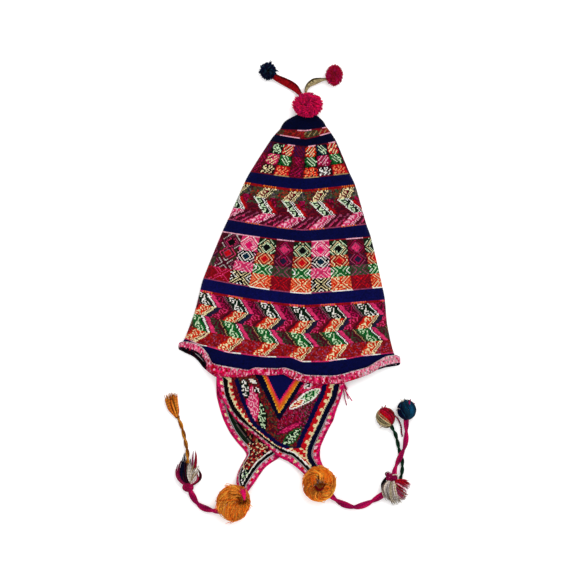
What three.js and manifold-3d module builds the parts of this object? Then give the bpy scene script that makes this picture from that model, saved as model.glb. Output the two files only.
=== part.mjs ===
// A knitted ear-flap hat laid flat, after the tall pointed hats of the Andes.
// A tall conical crown of two layers lies on its back with its mouth towards -Y, and its hem carries
// a knitted edging. Two ear flaps leave the hem and cross, each ends in a pompom, and the tie cords
// leave the pompoms with tassels and small yarn balls on them. A pompom with two straps tops the crown.
// Millimetres, +Z up. The origin lies on the surface, under the crown's lower layer by the mouth.
import * as THREE from 'three';
import { mergeVertices } from 'three/addons/utils/BufferGeometryUtils.js';
import Module from 'manifold-3d';

const wasm = await Module();
wasm.setup();

// Driving dimensions
const KNIT = 2.6; // wall of the knitted cloth
const EDGING = 2.8; // thickness of the knitted edging
const FOLD_RADIUS = 4.2; // outer radius of the crown's side folds
const GAP = 0.35; // clearance between neighbouring pieces
const TIE_WIDTH = 8; // twisted tie cord
const BRAID_WIDTH = 5; // orange end of the left tie
const PINK_STRAND_WIDTH = 6.4;
const GREEN_STRAND_WIDTH = 5;
const THIN_STRAND_WIDTH = 2.4;

const COLOURS = {
  navy: 0x14104f, edging: 0xc93a6c, flap: 0x7a2440, magenta: 0xc01055, orange: 0xd77a0c,
  darkNavy: 0x0a1322, red: 0xa80e10, cream: 0xa9a07c, crimson: 0xb00a3c, green: 0x14402c,
  teal: 0x0d3f5e, scarlet: 0xc4202c, grey: 0xb3a79c, maroon: 0x6e0a2e,
};

// Crown, tip to hem: where each knitted round crosses the left fold, the middle and the right fold,
// and how high the upper layer stands in the middle.
const CROWN_ROWS = [
  { leftX: 16, leftY: 321, midX: 24.5, midY: 323.5, rightX: 34, rightY: 321, puff: 8.6 },
  { leftX: -4, leftY: 310, midX: 23.5, midY: 308, rightX: 45.5, rightY: 310.5, puff: 10.5 },
  { leftX: -10.5, leftY: 300, midX: 23.5, midY: 298.5, rightX: 50, rightY: 303, puff: 12 },
  { leftX: -17, leftY: 293, midX: 23.5, midY: 286.5, rightX: 56, rightY: 295, puff: 13 },
  { leftX: -23.5, leftY: 284.5, midX: 23.5, midY: 277.5, rightX: 62.5, rightY: 284.5, puff: 14 },
  { leftX: -49, leftY: 244.5, midX: 22, midY: 235.5, rightX: 80.5, rightY: 242, puff: 18 },
  { leftX: -56, leftY: 231.5, midX: 22, midY: 221, rightX: 87, rightY: 228, puff: 19 },
  { leftX: -78, leftY: 182.5, midX: 22, midY: 168, rightX: 102, rightY: 176, puff: 22 },
  { leftX: -85, leftY: 167.5, midX: 22, midY: 154, rightX: 107.5, rightY: 160.5, puff: 23 },
  { leftX: -110, leftY: 106, midX: 22, midY: 86, rightX: 123, rightY: 94, puff: 26 },
  { leftX: -114, leftY: 91.5, midX: 22, midY: 71.5, rightX: 126, rightY: 78.5, puff: 26.5 },
  { leftX: -121.5, leftY: 62, midX: 21, midY: 36, rightX: 129, rightY: 46, puff: 27 },
  { leftX: -134.5, leftY: 27.5, midX: 19.5, midY: -2.5, rightX: 137.5, rightY: 9, puff: 26.5 },
  { leftX: -138.5, leftY: 22, midX: 19.5, midY: -20, rightX: 142.5, rightY: 4, puff: 24 },
];
const LEFT_BOW = 1.35; // how the rounds bow on either side of the middle
const RIGHT_BOW = 1.15;

// Ruffles of the last pattern round and of the hem, on the upper layer, and the plain lower hem.
const LAST_BAND_FRONT = [
  { x: -134.5, y: 27.5 }, { x: -110, y: 18.5 }, { x: -73.5, y: 9 }, { x: -29, y: 4 }, { x: 3, y: 3.5 },
  { x: 19.5, y: -2.3 }, { x: 47, y: -2.3 }, { x: 70, y: 0.7 }, { x: 102, y: 5.6 }, { x: 137.5, y: 9 },
];
const HEM_FRONT = [
  { x: -138.5, y: 22 }, { x: -134, y: 22.8 }, { x: -116, y: 20 }, { x: -105, y: 8 },
  { x: -98, y: -4.5 }, { x: -84.5, y: -8.5 }, { x: -52, y: -14 }, { x: -41.5, y: -10.8 },
  { x: -14, y: -12 }, { x: -5, y: -10.8 }, { x: 8, y: -15 }, { x: 22, y: -20 }, { x: 47, y: -21.2 },
  { x: 66, y: -20.2 }, { x: 84.5, y: -15.2 }, { x: 105, y: -9.5 }, { x: 116, y: -2.3 },
  { x: 127, y: 3.6 }, { x: 139, y: 5.6 }, { x: 142.5, y: 4 },
];
const HEM_BACK = [
  { x: -138.5, y: 22 }, { x: -131, y: 17.5 }, { x: -121, y: 12.4 }, { x: -113.5, y: 5.5 },
  { x: -108, y: -1.5 }, { x: -101.5, y: -7.5 }, { x: -92, y: -13.5 }, { x: -60, y: -18.5 },
  { x: 0, y: -21.5 }, { x: 50, y: -21.5 }, { x: 92, y: -13 }, { x: 104, y: -8 }, { x: 117, y: -3.7 },
  { x: 127, y: -0.8 }, { x: 137, y: 1 }, { x: 142.5, y: 4 },
];
// Soft dents and the ridge of an old middle crease in the upper layer.
const DENTS = [
  { x: -62, y: 120, radius: 34, depth: 2.6 }, { x: 74, y: 62, radius: 30, depth: 2.2 },
  { x: -8, y: 44, radius: 26, depth: 1.8 }, { x: 60, y: 176, radius: 22, depth: 1.6 },
  { x: -20, y: 208, radius: 18, depth: 1.4 }, { x: -88, y: 40, radius: 22, depth: 1.8 },
];
const CREASE = { width: 9, height: 1.5 };
const PUFF_FULLNESS = 0.8; // under 1 the upper layer is fuller towards its sides
const FULL_BULGE = 8; // dents and crease fade out where the layer bulges less than this
const CROWN_HALF_STEPS = 18;

// The edging round the mouth: attached edge a and free edge f, front from left to right, then back.
// In front the attached edge lies on the crown's upper surface, and drop is how far the free edge
// falls from there; the side and back rows give plain heights instead.
const RIM_FRONT = [
  { ax: -134.5, ay: 24.3, fx: -136, fy: 14.5, drop: 2.5 },
  { ax: -124, ay: 23, fx: -128, fy: 12.2, drop: 3 },
  { ax: -113, ay: 18.5, fx: -117.5, fy: 7.5, drop: 3.5 },
  { ax: -104, ay: 8.5, fx: -110.5, fy: 0, drop: 3.5 },
  { ax: -98.5, ay: -2.5, fx: -104.5, fy: -9, drop: 2 },
  { ax: -91, ay: -5.5, fx: -97, fy: -17, drop: 1.4 },
  { ax: -79, ay: -7.8, fx: -82, fy: -21.8, drop: 2.2 },
  { ax: -64, ay: -10.4, fx: -65, fy: -22.2, drop: 2.2 },
  { ax: -52, ay: -12.3, fx: -54, fy: -21.2, drop: 2 },
  { ax: -42, ay: -9.3, fx: -42, fy: -18.4, drop: 2 },
  { ax: -28, ay: -9.8, fx: -28, fy: -20, drop: 2.2 },
  { ax: -14, ay: -10.3, fx: -14, fy: -19.2, drop: 2 },
  { ax: -4, ay: -9.4, fx: -6, fy: -18.4, drop: 2 },
  { ax: 8, ay: -13.2, fx: 4, fy: -23.6, drop: 2.4 },
  { ax: 22, ay: -18.4, fx: 18, fy: -28, drop: 2.6 },
  { ax: 36, ay: -19.2, fx: 36, fy: -30.6, drop: 2.8 },
  { ax: 50, ay: -19.6, fx: 52, fy: -31, drop: 2.8 },
  { ax: 66, ay: -18.6, fx: 69, fy: -30, drop: 2.6 },
  { ax: 84.5, ay: -13.6, fx: 88, fy: -24.6, drop: 3 },
  { ax: 103, ay: -8.4, fx: 107, fy: -17.6, drop: 2 },
  { ax: 115, ay: -1.4, fx: 118.5, fy: -11, drop: 2 },
  { ax: 127, ay: 5, fx: 129, fy: -7.2, drop: 2.6 },
  { ax: 138, ay: 7, fx: 140, fy: -5, drop: 2.4 },
];
const RIM_LIFT = 2.5; // from the crown's upper surface to the middle of the edging on it
const RIM_SIDES_AND_BACK = [
  { ax: 143.4, ay: 5.4, az: 7.4, fx: 144.2, fy: -4.6, fz: 6.4 },
  { ax: 144.6, ay: 4.2, az: 4, fx: 145, fy: -5.6, fz: 3.8 },
  { ax: 142.4, ay: 1.4, az: 1.5, fx: 142.6, fy: -7.2, fz: 1.5 },
  { ax: 136, ay: -0.4, az: 1.5, fx: 136.5, fy: -8.2, fz: 1.5 },
  { ax: 126, ay: -2.4, az: 1.5, fx: 127, fy: -9.8, fz: 1.5 },
  { ax: 116, ay: -5.2, az: 1.5, fx: 117, fy: -12.8, fz: 1.5 },
  { ax: 103.5, ay: -9.6, az: 1.5, fx: 104.5, fy: -17, fz: 1.5 },
  { ax: 91, ay: -14.8, az: 1.5, fx: 92, fy: -21.6, fz: 1.5 },
  { ax: 72, ay: -19.2, az: 1.5, fx: 72, fy: -26.4, fz: 1.5 },
  { ax: 50, ay: -22.8, az: 1.5, fx: 50, fy: -30.4, fz: 1.5 },
  { ax: 25, ay: -23, az: 1.5, fx: 25, fy: -30.8, fz: 1.5 },
  { ax: 0, ay: -22.8, az: 1.5, fx: 0, fy: -30.6, fz: 1.5 },
  { ax: -30, ay: -21.6, az: 1.5, fx: -30, fy: -29.4, fz: 1.5 },
  { ax: -60, ay: -19.9, az: 1.5, fx: -60, fy: -27.6, fz: 1.5 },
  { ax: -78, ay: -17.4, az: 1.5, fx: -78.5, fy: -25, fz: 1.5 },
  { ax: -91.5, ay: -15.2, az: 1.5, fx: -94, fy: -22, fz: 1.5 },
  { ax: -100.6, ay: -9.6, az: 1.5, fx: -102.6, fy: -16.2, fz: 1.5 },
  { ax: -108.3, ay: -3.4, az: 1.5, fx: -110.4, fy: -9.4, fz: 1.5 },
  { ax: -114.8, ay: 3.2, az: 1.5, fx: -116.4, fy: -1.6, fz: 1.5 },
  { ax: -122.6, ay: 10, az: 1.5, fx: -123.4, fy: 4.6, fz: 1.5 },
  { ax: -132, ay: 15.6, az: 1.5, fx: -132.4, fy: 8.8, fz: 1.5 },
  { ax: -138.6, ay: 19.6, az: 1.5, fx: -138.6, fy: 12, fz: 1.5 },
  { ax: -140.7, ay: 22.2, az: 4, fx: -141, fy: 13.6, fz: 3.8 },
  { ax: -139.6, ay: 23.4, az: 7.8, fx: -140, fy: 14.4, fz: 6.6 },
];

// Ear flaps, hem to tip: left edge, middle and right edge of the knitted panel and their heights.
const FLAP_FRONT = [
  { leftX: -83, leftY: -27, rightX: 65.3, rightY: -34, leftZ: 13, midZ: 17.5, rightZ: 14.5 },
  { leftX: -80, leftY: -46, rightX: 61.5, rightY: -50, leftZ: 10.5, midZ: 13.5, rightZ: 11 },
  { leftX: -72, leftY: -64, rightX: 54.5, rightY: -63, leftZ: 8.8, midZ: 10.5, rightZ: 8.6 },
  { leftX: -62, leftY: -76, rightX: 49, rightY: -76, leftZ: 8.2, midZ: 8.8, rightZ: 7 },
  { leftX: -46, leftY: -89.5, rightX: 42.5, rightY: -90.5, leftZ: 7.8, midZ: 7.6, rightZ: 6.2 },
  { leftX: -24, leftY: -107.4, rightX: 36.5, rightY: -102.7, leftZ: 7.4, midZ: 6.8, rightZ: 5.6 },
  { leftX: -6, leftY: -119.6, rightX: 31.6, rightY: -114.8, leftZ: 6.6, midZ: 6.2, rightZ: 5.6 },
  { leftX: 6.4, leftY: -124.4, rightX: 30.6, rightY: -124.2, leftZ: 6.4, midZ: 6.4, rightZ: 6.2 },
  { leftX: 18.3, leftY: -135.2, rightX: 33.5, rightY: -131, leftZ: 8, midZ: 8, rightZ: 7.6 },
  { leftX: 27, leftY: -144.5, rightX: 39.5, rightY: -140.5, leftZ: 9.6, midZ: 9.8, rightZ: 9.4 },
];
const FLAP_BACK = [
  { leftX: -85, leftY: -28, rightX: 59, rightY: -34, leftZ: 4.75, midZ: 4.75, rightZ: 4.75 },
  { leftX: -84.5, leftY: -46, rightX: 58, rightY: -46, leftZ: 1.4, midZ: 1.8, rightZ: 1.4 },
  { leftX: -80, leftY: -62, rightX: 49, rightY: -60, leftZ: 1.3, midZ: 1.3, rightZ: 1.3 },
  { leftX: -75.5, leftY: -76, rightX: 36, rightY: -74, leftZ: 1.3, midZ: 1.3, rightZ: 1.3 },
  { leftX: -67.5, leftY: -92, rightX: 19, rightY: -87, leftZ: 1.3, midZ: 1.3, rightZ: 1.3 },
  { leftX: -58.5, leftY: -104, rightX: 5, rightY: -98, leftZ: 1.3, midZ: 1.3, rightZ: 1.3 },
  { leftX: -51, leftY: -113, rightX: -8, rightY: -108, leftZ: 1.3, midZ: 1.3, rightZ: 1.3 },
  { leftX: -50, leftY: -122.5, rightX: -18.5, rightY: -121, leftZ: 1.3, midZ: 1.4, rightZ: 1.3 },
  { leftX: -54.5, leftY: -130.5, rightX: -27, rightY: -127, leftZ: 1.6, midZ: 1.8, rightZ: 1.6 },
  { leftX: -58.5, leftY: -138, rightX: -35.5, rightY: -134, leftZ: 3, midZ: 3.2, rightZ: 3 },
  { leftX: -62, leftY: -147, rightX: -43.5, rightY: -143.5, leftZ: 5.8, midZ: 6, rightZ: 5.8 },
  { leftX: -63, leftY: -156, rightX: -49.5, rightY: -152.5, leftZ: 9.4, midZ: 9.6, rightZ: 9.4 },
  { leftX: -61.5, leftY: -163, rightX: -54.5, rightY: -160.5, leftZ: 12.6, midZ: 12.8, rightZ: 12.6 },
  { leftX: -61, leftY: -170, rightX: -57.5, rightY: -168, leftZ: 15, midZ: 15, rightZ: 15 },
];
const FLAP_STEPS = 8;
const HEM_STEP = 1.1; // the front flap starts this far below the crown's upper face

// The edging down each side of a flap: attached edge a, free edge f.
const EDGE_FRONT_LEFT = [
  { ax: -84.6, ay: -9.8, az: 16.2, fx: -93, fy: -8.6, fz: 15.6 },
  { ax: -83.6, ay: -27, az: 12.9, fx: -92.6, fy: -25, fz: 11.8 },
  { ax: -80.6, ay: -46, az: 10.4, fx: -89, fy: -45, fz: 9 },
  { ax: -75.6, ay: -58, az: 9.2, fx: -81, fy: -57.5, fz: 7 },
  { ax: -72.6, ay: -64.6, az: 8.7, fx: -76.4, fy: -65.8, fz: 6 },
  { ax: -62.7, ay: -76.7, az: 8.1, fx: -66, fy: -78.6, fz: 5.6 },
  { ax: -46.5, ay: -90.3, az: 7.7, fx: -49.3, fy: -93, fz: 5.3 },
  { ax: -24.6, ay: -108, az: 7.3, fx: -27.6, fy: -110.6, fz: 5.2 },
  { ax: -16.9, ay: -114, az: 7, fx: -20.4, fy: -118.4, fz: 5.2 },
  { ax: -6.4, ay: -120.3, az: 6.6, fx: -10.5, fy: -126.6, fz: 5.2 },
  { ax: 5.9, ay: -125.1, az: 6.4, fx: 0.4, fy: -132, fz: 5.4 },
  { ax: 17.8, ay: -135.9, az: 7.9, fx: 12.3, fy: -140.4, fz: 7.2 },
  { ax: 26.4, ay: -145, az: 9.5, fx: 22.4, fy: -149.5, fz: 9 },
];
const EDGE_FRONT_RIGHT = [
  { ax: 66.7, ay: -21.4, az: 18.8, fx: 73.5, fy: -19.9, fz: 18.4 },
  { ax: 66, ay: -34.2, az: 14.5, fx: 72.7, fy: -33, fz: 13.6 },
  { ax: 62.2, ay: -50.3, az: 11, fx: 68.5, fy: -49.5, fz: 10 },
  { ax: 55.3, ay: -63.4, az: 8.6, fx: 63, fy: -64.5, fz: 7.6 },
  { ax: 49.7, ay: -76.4, az: 7, fx: 58.8, fy: -78.4, fz: 5.6 },
  { ax: 43.2, ay: -91, az: 6.2, fx: 52.6, fy: -89.4, fz: 4 },
  { ax: 37.2, ay: -103, az: 5.6, fx: 47, fy: -101.6, fz: 2.8 },
  { ax: 32.4, ay: -115, az: 5.6, fx: 42.5, fy: -112.6, fz: 2.6 },
  { ax: 31.4, ay: -124.3, az: 6.2, fx: 41.6, fy: -122.4, fz: 4 },
  { ax: 34.2, ay: -131.2, az: 7.6, fx: 42.6, fy: -130, fz: 6.4 },
  { ax: 40.4, ay: -140.8, az: 9.4, fx: 46.6, fy: -139.4, fz: 8.6 },
];
const EDGE_BACK_LEFT = [
  { ax: -85.7, ay: -15.8, az: 4.75, fx: -92.6, fy: -14.8, fz: 4.75 },
  { ax: -85.6, ay: -28, az: 4.75, fx: -93.4, fy: -28, fz: 4.75 },
  { ax: -85.2, ay: -46, az: 1.4, fx: -92.8, fy: -46, fz: 1.4 },
  { ax: -81.1, ay: -60, az: 1.4, fx: -89, fy: -61.9, fz: 1.4 },
  { ax: -76.2, ay: -76.2, az: 1.4, fx: -83.9, fy: -77.5, fz: 1.4 },
  { ax: -68.2, ay: -92.3, az: 1.4, fx: -75.4, fy: -94.5, fz: 1.4 },
  { ax: -59.2, ay: -104.4, az: 1.4, fx: -65.8, fy: -107.5, fz: 1.4 },
  { ax: -51.9, ay: -113.2, az: 1.4, fx: -57.3, fy: -117, fz: 1.4 },
  { ax: -51, ay: -122.5, az: 1.5, fx: -54, fy: -123.5, fz: 1.5 },
  { ax: -55.6, ay: -130.8, az: 1.8, fx: -58, fy: -131.5, fz: 1.6 },
  { ax: -59.4, ay: -138.2, az: 3, fx: -61.8, fy: -139, fz: 2.6 },
  { ax: -62.8, ay: -147, az: 5.8, fx: -65.4, fy: -147.6, fz: 5 },
  { ax: -63.8, ay: -156, az: 9.4, fx: -67, fy: -156.6, fz: 8.4 },
  { ax: -62.4, ay: -163.2, az: 12.6, fx: -66.2, fy: -164.2, fz: 11.8 },
];
const EDGE_BACK_RIGHT = [
  { ax: 59.8, ay: -23.6, az: 4.75, fx: 66.6, fy: -22.8, fz: 4.75 },
  { ax: 59.6, ay: -34.2, az: 4.75, fx: 67, fy: -34, fz: 4.75 },
  { ax: 58.6, ay: -46.4, az: 1.4, fx: 65.6, fy: -48.2, fz: 1.4 },
  { ax: 49.6, ay: -60.7, az: 1.4, fx: 55.8, fy: -65, fz: 1.4 },
  { ax: 36.5, ay: -74.9, az: 1.4, fx: 42.6, fy: -80, fz: 1.4 },
  { ax: 19.5, ay: -88, az: 1.4, fx: 25, fy: -93.6, fz: 1.4 },
  { ax: 5.5, ay: -99, az: 1.4, fx: 11, fy: -104.6, fz: 1.4 },
  { ax: -7.5, ay: -109, az: 1.4, fx: -1.4, fy: -114.4, fz: 1.4 },
  { ax: -17.9, ay: -121.9, az: 1.4, fx: -11.7, fy: -127.2, fz: 1.4 },
  { ax: -26.4, ay: -127.9, az: 1.7, fx: -21.2, fy: -133.2, fz: 1.6 },
  { ax: -34.8, ay: -134.8, az: 3, fx: -30, fy: -140.2, fz: 2.6 },
  { ax: -42.7, ay: -144.2, az: 5.8, fx: -36.8, fy: -149.2, fz: 5.2 },
  { ax: -48.8, ay: -153.2, az: 9.4, fx: -42.4, fy: -157.8, fz: 8.8 },
  { ax: -53.8, ay: -161.2, az: 12.6, fx: -48.8, fy: -166.4, fz: 12 },
  { ax: -56.8, ay: -168.6, az: 15, fx: -53.4, fy: -172.6, fz: 14.6 },
];

// Round pompoms and yarn balls: centre in plan, half sizes along X, Y and Z, how many locks stand
// out of the head, and how far they stand out as a share of the size.
const POMPOMS = {
  apex_pompom: { x: 25.5, y: 331, half: [20.5, 16.8, 15.5], locks: 30, relief: 0.16, colour: 'magenta' },
  navy_pompom: { x: -26, y: 375, half: [11.4, 12.2, 10.4], locks: 18, relief: 0.16, colour: 'darkNavy' },
  crimson_pompom: { x: 60, y: 370, half: [11.8, 14.4, 11], locks: 18, relief: 0.16, colour: 'crimson' },
  orange_pompom_left: {
    x: -70.8, y: -184.5, half: [22.6, 23.6, 17.5], locks: 34, relief: 0.15, colour: 'orange',
  },
  orange_pompom_right: {
    x: 40, y: -159.5, half: [21.4, 23.6, 17.5], locks: 34, relief: 0.15, colour: 'orange',
  },
  red_white_ball: {
    x: 126.8, y: -74.4, half: [12.6, 13.2, 11.2], locks: 12, relief: 0.08, colour: 'scarlet',
  },
  teal_ball: { x: 154, y: -64.6, half: [13.2, 13.2, 11.2], locks: 12, relief: 0.08, colour: 'teal' },
};
const LARGE_POMPOM = 15; // half size from which a pompom is cut more finely
const FLAT_FOOT = 1.6; // how much of a ball is pressed flat where it lies
const PARTING = { x: 38.4, y: -161, radius: 3.6, depth: 9 }; // the open middle of the right pompom

// Straps on the top pompom: points down the middle with the strap's width there.
const STRAP_THICKNESS = 2.4;
const RED_STRAP = [
  { x: -18.6, y: 369, z: 9.4, width: 8 }, { x: -13, y: 365.6, z: 7, width: 9 },
  { x: -3, y: 360.8, z: 4.4, width: 10.6 }, { x: 6.5, y: 355.6, z: 3.6, width: 10.6 },
  { x: 12.5, y: 350, z: 5.4, width: 8 }, { x: 17, y: 343.6, z: 9, width: 4.6 },
];
const CREAM_STRAP = [
  { x: 23.6, y: 344.6, z: 11, width: 3.4 }, { x: 23.4, y: 350.6, z: 8, width: 4 },
  { x: 26.8, y: 357, z: 5, width: 6.4 }, { x: 33.6, y: 361.6, z: 3.6, width: 8.8 },
  { x: 40.6, y: 363.6, z: 4.6, width: 6.6 }, { x: 46, y: 364.4, z: 7, width: 4 },
  { x: 50.4, y: 365, z: 9.4, width: 4 },
];

// Tie cords and strands: points down the middle of each.
const TIE_LEFT = [
  { x: -88, y: -195.4, z: 8.6 }, { x: -95, y: -196, z: 6 }, { x: -104, y: -194, z: 4.1 },
  { x: -112.5, y: -190.4, z: 4.1 }, { x: -119, y: -184.6, z: 4.1 }, { x: -123.6, y: -177, z: 4.8 },
  { x: -127, y: -169.6, z: 6 },
];
const TIE_RIGHT = [
  { x: 53.5, y: -173.5, z: 8.6 }, { x: 58.6, y: -178.4, z: 6.4 }, { x: 66, y: -184, z: 4.1 },
  { x: 76, y: -188.6, z: 4.1 }, { x: 86.5, y: -191, z: 4.1 }, { x: 96, y: -189, z: 4.1 },
  { x: 105.5, y: -185.2, z: 4.4 }, { x: 115, y: -180, z: 5.6 }, { x: 124.4, y: -173.6, z: 8 },
];
const BRAID = [
  { x: -130.4, y: -134, z: 9 }, { x: -130.6, y: -120.6, z: 6.6 }, { x: -132.8, y: -108, z: 3.4 },
  { x: -135.8, y: -95, z: 2.6 }, { x: -139.2, y: -83.6, z: 3 }, { x: -142.6, y: -75.6, z: 3.8 },
];
const PINK_STRAND = [
  { x: 137.6, y: -149.5, z: 12 }, { x: 138.8, y: -142, z: 11 }, { x: 141.6, y: -134, z: 10 },
  { x: 147, y: -122.6, z: 9.4 }, { x: 151.6, y: -112, z: 8 }, { x: 153.4, y: -101, z: 6.4 },
  { x: 153.6, y: -90, z: 6.8 }, { x: 153.4, y: -79, z: 8.6 }, { x: 153.6, y: -72, z: 10 },
];
const GREEN_STRAND = [
  { x: 145.6, y: -154.6, z: 8 }, { x: 147.8, y: -147, z: 5.4 }, { x: 148.6, y: -138, z: 2.7 },
  { x: 148, y: -127.4, z: 2.6 }, { x: 144.6, y: -117, z: 2.6 }, { x: 142.4, y: -107, z: 2.6 },
  { x: 139.6, y: -96.4, z: 3.6 }, { x: 134.4, y: -86.2, z: 7.6 }, { x: 131.6, y: -81.6, z: 9.2 },
];
const THIN_STRAND = [
  { x: 137.2, y: -71.6, z: 9 }, { x: 141.4, y: -74.6, z: 6 }, { x: 144.6, y: -80, z: 2.6 },
  { x: 147, y: -87, z: 1.4 }, { x: 147.4, y: -93.6, z: 1.6 }, { x: 148.6, y: -99.2, z: 2.6 },
];

// Tassels: the tied root and the half sizes of its knot, the tip of the brush and its half width.
const TASSELS = {
  tassel_left: {
    x: -129.4, y: -164.4, knot: [8.6, 6.6], tipX: -130.6, tipY: -119.6, half: 14.4, colour: 'grey',
  },
  tassel_right: { x: 132.6, y: -149.6, knot: [6, 6.4], tipX: 142, tipY: -186.6, half: 15, colour: 'grey' },
  end_tassel: { x: -143.8, y: -75, knot: [3, 3], tipX: -150.4, tipY: -45.6, half: 9.2, colour: 'orange' },
};
// A brush from its root to its tip: share of its length and share of its half width.
const BRUSH = [
  { along: 0, wide: 0.3 }, { along: 0.14, wide: 0.5 }, { along: 0.36, wide: 0.86 }, { along: 0.6, wide: 1 },
  { along: 0.82, wide: 0.86 }, { along: 1, wide: 0.5 },
];
const BRUSH_LOCKS = 9;
const BRUSH_HEIGHT = 0.68; // height of a brush over its width, pressed by its own weight
const KNOT_PRESS = 0.5; // how much of a knot is pressed flat
const FLUTE = 0.15; // how far the locks of a brush stand out of it
const RAGGED = 0.2; // how unevenly the locks end

// Small helpers

const lerp = (a, b, t) => a + (b - a) * t;

// The y of a table at x, eased between its rows.
function yAt(table, x) {
  if (x <= table[0].x) return table[0].y;
  for (let i = 1; i < table.length; i++) {
    const a = table[i - 1];
    const b = table[i];
    if (x <= b.x) {
      const t = (x - a.x) / (b.x - a.x);
      return lerp(a.y, b.y, (t * t * (3 - 2 * t) + t) / 2);
    }
  }
  return table[table.length - 1].y;
}

// The lowest y of a table within reach of x.
function lowestNear(table, x, reach) {
  const shares = [-1, -0.75, -0.5, -0.25, 0, 0.25, 0.5, 0.75, 1];
  return Math.min(...shares.map((share) => yAt(table, x + share * reach)));
}

function solidOf(geometry) {
  const plain = geometry.clone();
  for (const name of ['normal', 'uv']) plain.deleteAttribute(name);
  const merged = mergeVertices(plain, 1e-4);
  return new wasm.Manifold(new wasm.Mesh({
    numProp: 3,
    vertProperties: merged.attributes.position.array,
    triVerts: new Uint32Array(merged.index.array),
  }));
}

function geometryOf(solid) {
  const mesh = solid.getMesh();
  const geometry = new THREE.BufferGeometry();
  geometry.setAttribute('position', new THREE.BufferAttribute(new Float32Array(mesh.vertProperties), 3));
  geometry.setIndex(new THREE.BufferAttribute(new Uint32Array(mesh.triVerts), 1));
  return geometry;
}

// A closed solid through rings of equal count, capped at both ends or joined into a loop.
function loft(rings, loop = false) {
  const count = rings[0].length;
  const faces = [];
  const last = loop ? rings.length : rings.length - 1;
  for (let r = 0; r < last; r++) {
    const a = r * count;
    const b = ((r + 1) % rings.length) * count;
    for (let k = 0; k < count; k++) {
      const n = (k + 1) % count;
      faces.push(a + k, b + k, b + n, a + k, b + n, a + n);
    }
  }
  if (!loop) {
    capRing(faces, 0, count, true);
    capRing(faces, (rings.length - 1) * count, count, false);
  }
  return facedOut(rings.flat(), faces);
}

// A cap laid in a strip between the two halves of a ring.
function capRing(faces, start, count, flip) {
  for (let k = 0; k < count / 2 - 1; k++) {
    const [a, b, c, d] = [k, k + 1, count - 2 - k, count - 1 - k].map((i) => start + i);
    faces.push(...(flip ? [a, b, d, b, c, d] : [a, d, b, b, d, c]));
  }
}

// A geometry whose faces are turned so that its volume is positive.
function facedOut(points, faces) {
  let volume = 0;
  for (let i = 0; i < faces.length; i += 3) {
    const [a, b, c] = [points[faces[i]], points[faces[i + 1]], points[faces[i + 2]]];
    volume += a.dot(b.clone().cross(c));
  }
  if (volume < 0) {
    for (let i = 0; i < faces.length; i += 3) [faces[i + 1], faces[i + 2]] = [faces[i + 2], faces[i + 1]];
  }
  const geometry = new THREE.BufferGeometry();
  const place = points.flatMap((p) => [p.x, p.y, p.z]);
  geometry.setAttribute('position', new THREE.Float32BufferAttribute(place, 3));
  geometry.setIndex(faces);
  return geometry;
}

// Crown

const HEM_ROW = CROWN_ROWS.length - 1;
const LAST_BAND_ROW = HEM_ROW - 1;

// Where a knitted round runs in plan; upper says which of the two layers.
function rowY(index, x, upper) {
  const row = CROWN_ROWS[index];
  if (index === HEM_ROW) return yAt(upper ? HEM_FRONT : HEM_BACK, x);
  if (index === LAST_BAND_ROW && upper) return yAt(LAST_BAND_FRONT, x);
  const left = x < row.midX;
  const reach = left ? (row.midX - x) / (row.midX - row.leftX) : (x - row.midX) / (row.rightX - row.midX);
  const end = left ? row.leftY : row.rightY;
  return lerp(row.midY, end, Math.max(0, reach) ** (left ? LEFT_BOW : RIGHT_BOW));
}

// Height of the crown at a place in a round. inset is 0 on the outside and the wall inside.
function crownZ(index, x, y, upper, inset) {
  const row = CROWN_ROWS[index];
  const outer = Math.min(FOLD_RADIUS, row.puff / 2);
  const inner = outer - inset;
  const near = Math.max(0, Math.min(x - row.leftX, row.rightX - x) - inset);
  const round = near < inner ? Math.sqrt(1 - (1 - near / inner) ** 2) : 1;
  if (!upper) return outer - inner * round;
  const across = Math.min(1, Math.max(0, (x - row.leftX) / (row.rightX - row.leftX)));
  let bulge = (row.puff - 2 * outer) * Math.sin(Math.PI * across) ** PUFF_FULLNESS;
  const share = Math.min(1, bulge / FULL_BULGE);
  for (const dent of DENTS) {
    const away = Math.hypot(x - dent.x, y - dent.y) / dent.radius;
    bulge -= dent.depth * share * Math.exp(-away * away);
  }
  bulge += CREASE.height * share * Math.exp(-(((x - row.midX) / CREASE.width) ** 2));
  return outer + round * (inner + bulge);
}

function crownRing(index, inset) {
  const row = CROWN_ROWS[index];
  const [from, to] = [row.leftX + inset, row.rightX - inset];
  const ring = [];
  for (let k = 0; k < 2 * CROWN_HALF_STEPS; k++) {
    const upper = k <= CROWN_HALF_STEPS;
    const step = upper ? k : 2 * CROWN_HALF_STEPS - k;
    const x = lerp(from, to, 0.5 - 0.5 * Math.cos((Math.PI * step) / CROWN_HALF_STEPS));
    const y = rowY(index, x, upper);
    ring.push(new THREE.Vector3(x, y, crownZ(index, x, y, upper, inset)));
  }
  return ring;
}

function crown() {
  const rings = CROWN_ROWS.map((_, i) => crownRing(i, 0));
  for (let i = HEM_ROW; i >= 2; i--) rings.push(crownRing(i, KNIT));
  return loft(rings);
}

const hemTop = (x) => crownZ(HEM_ROW, x, yAt(HEM_FRONT, x), true, 0);

// Edging: a band between an attached and a free edge

// Its section: share of the width and of half the thickness.
const BAND_SECTION = [
  { across: 0, up: 0 }, { across: 0.2, up: 1 }, { across: 0.8, up: 1 },
  { across: 1, up: 0 }, { across: 0.8, up: -1 }, { across: 0.2, up: -1 },
];

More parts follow.
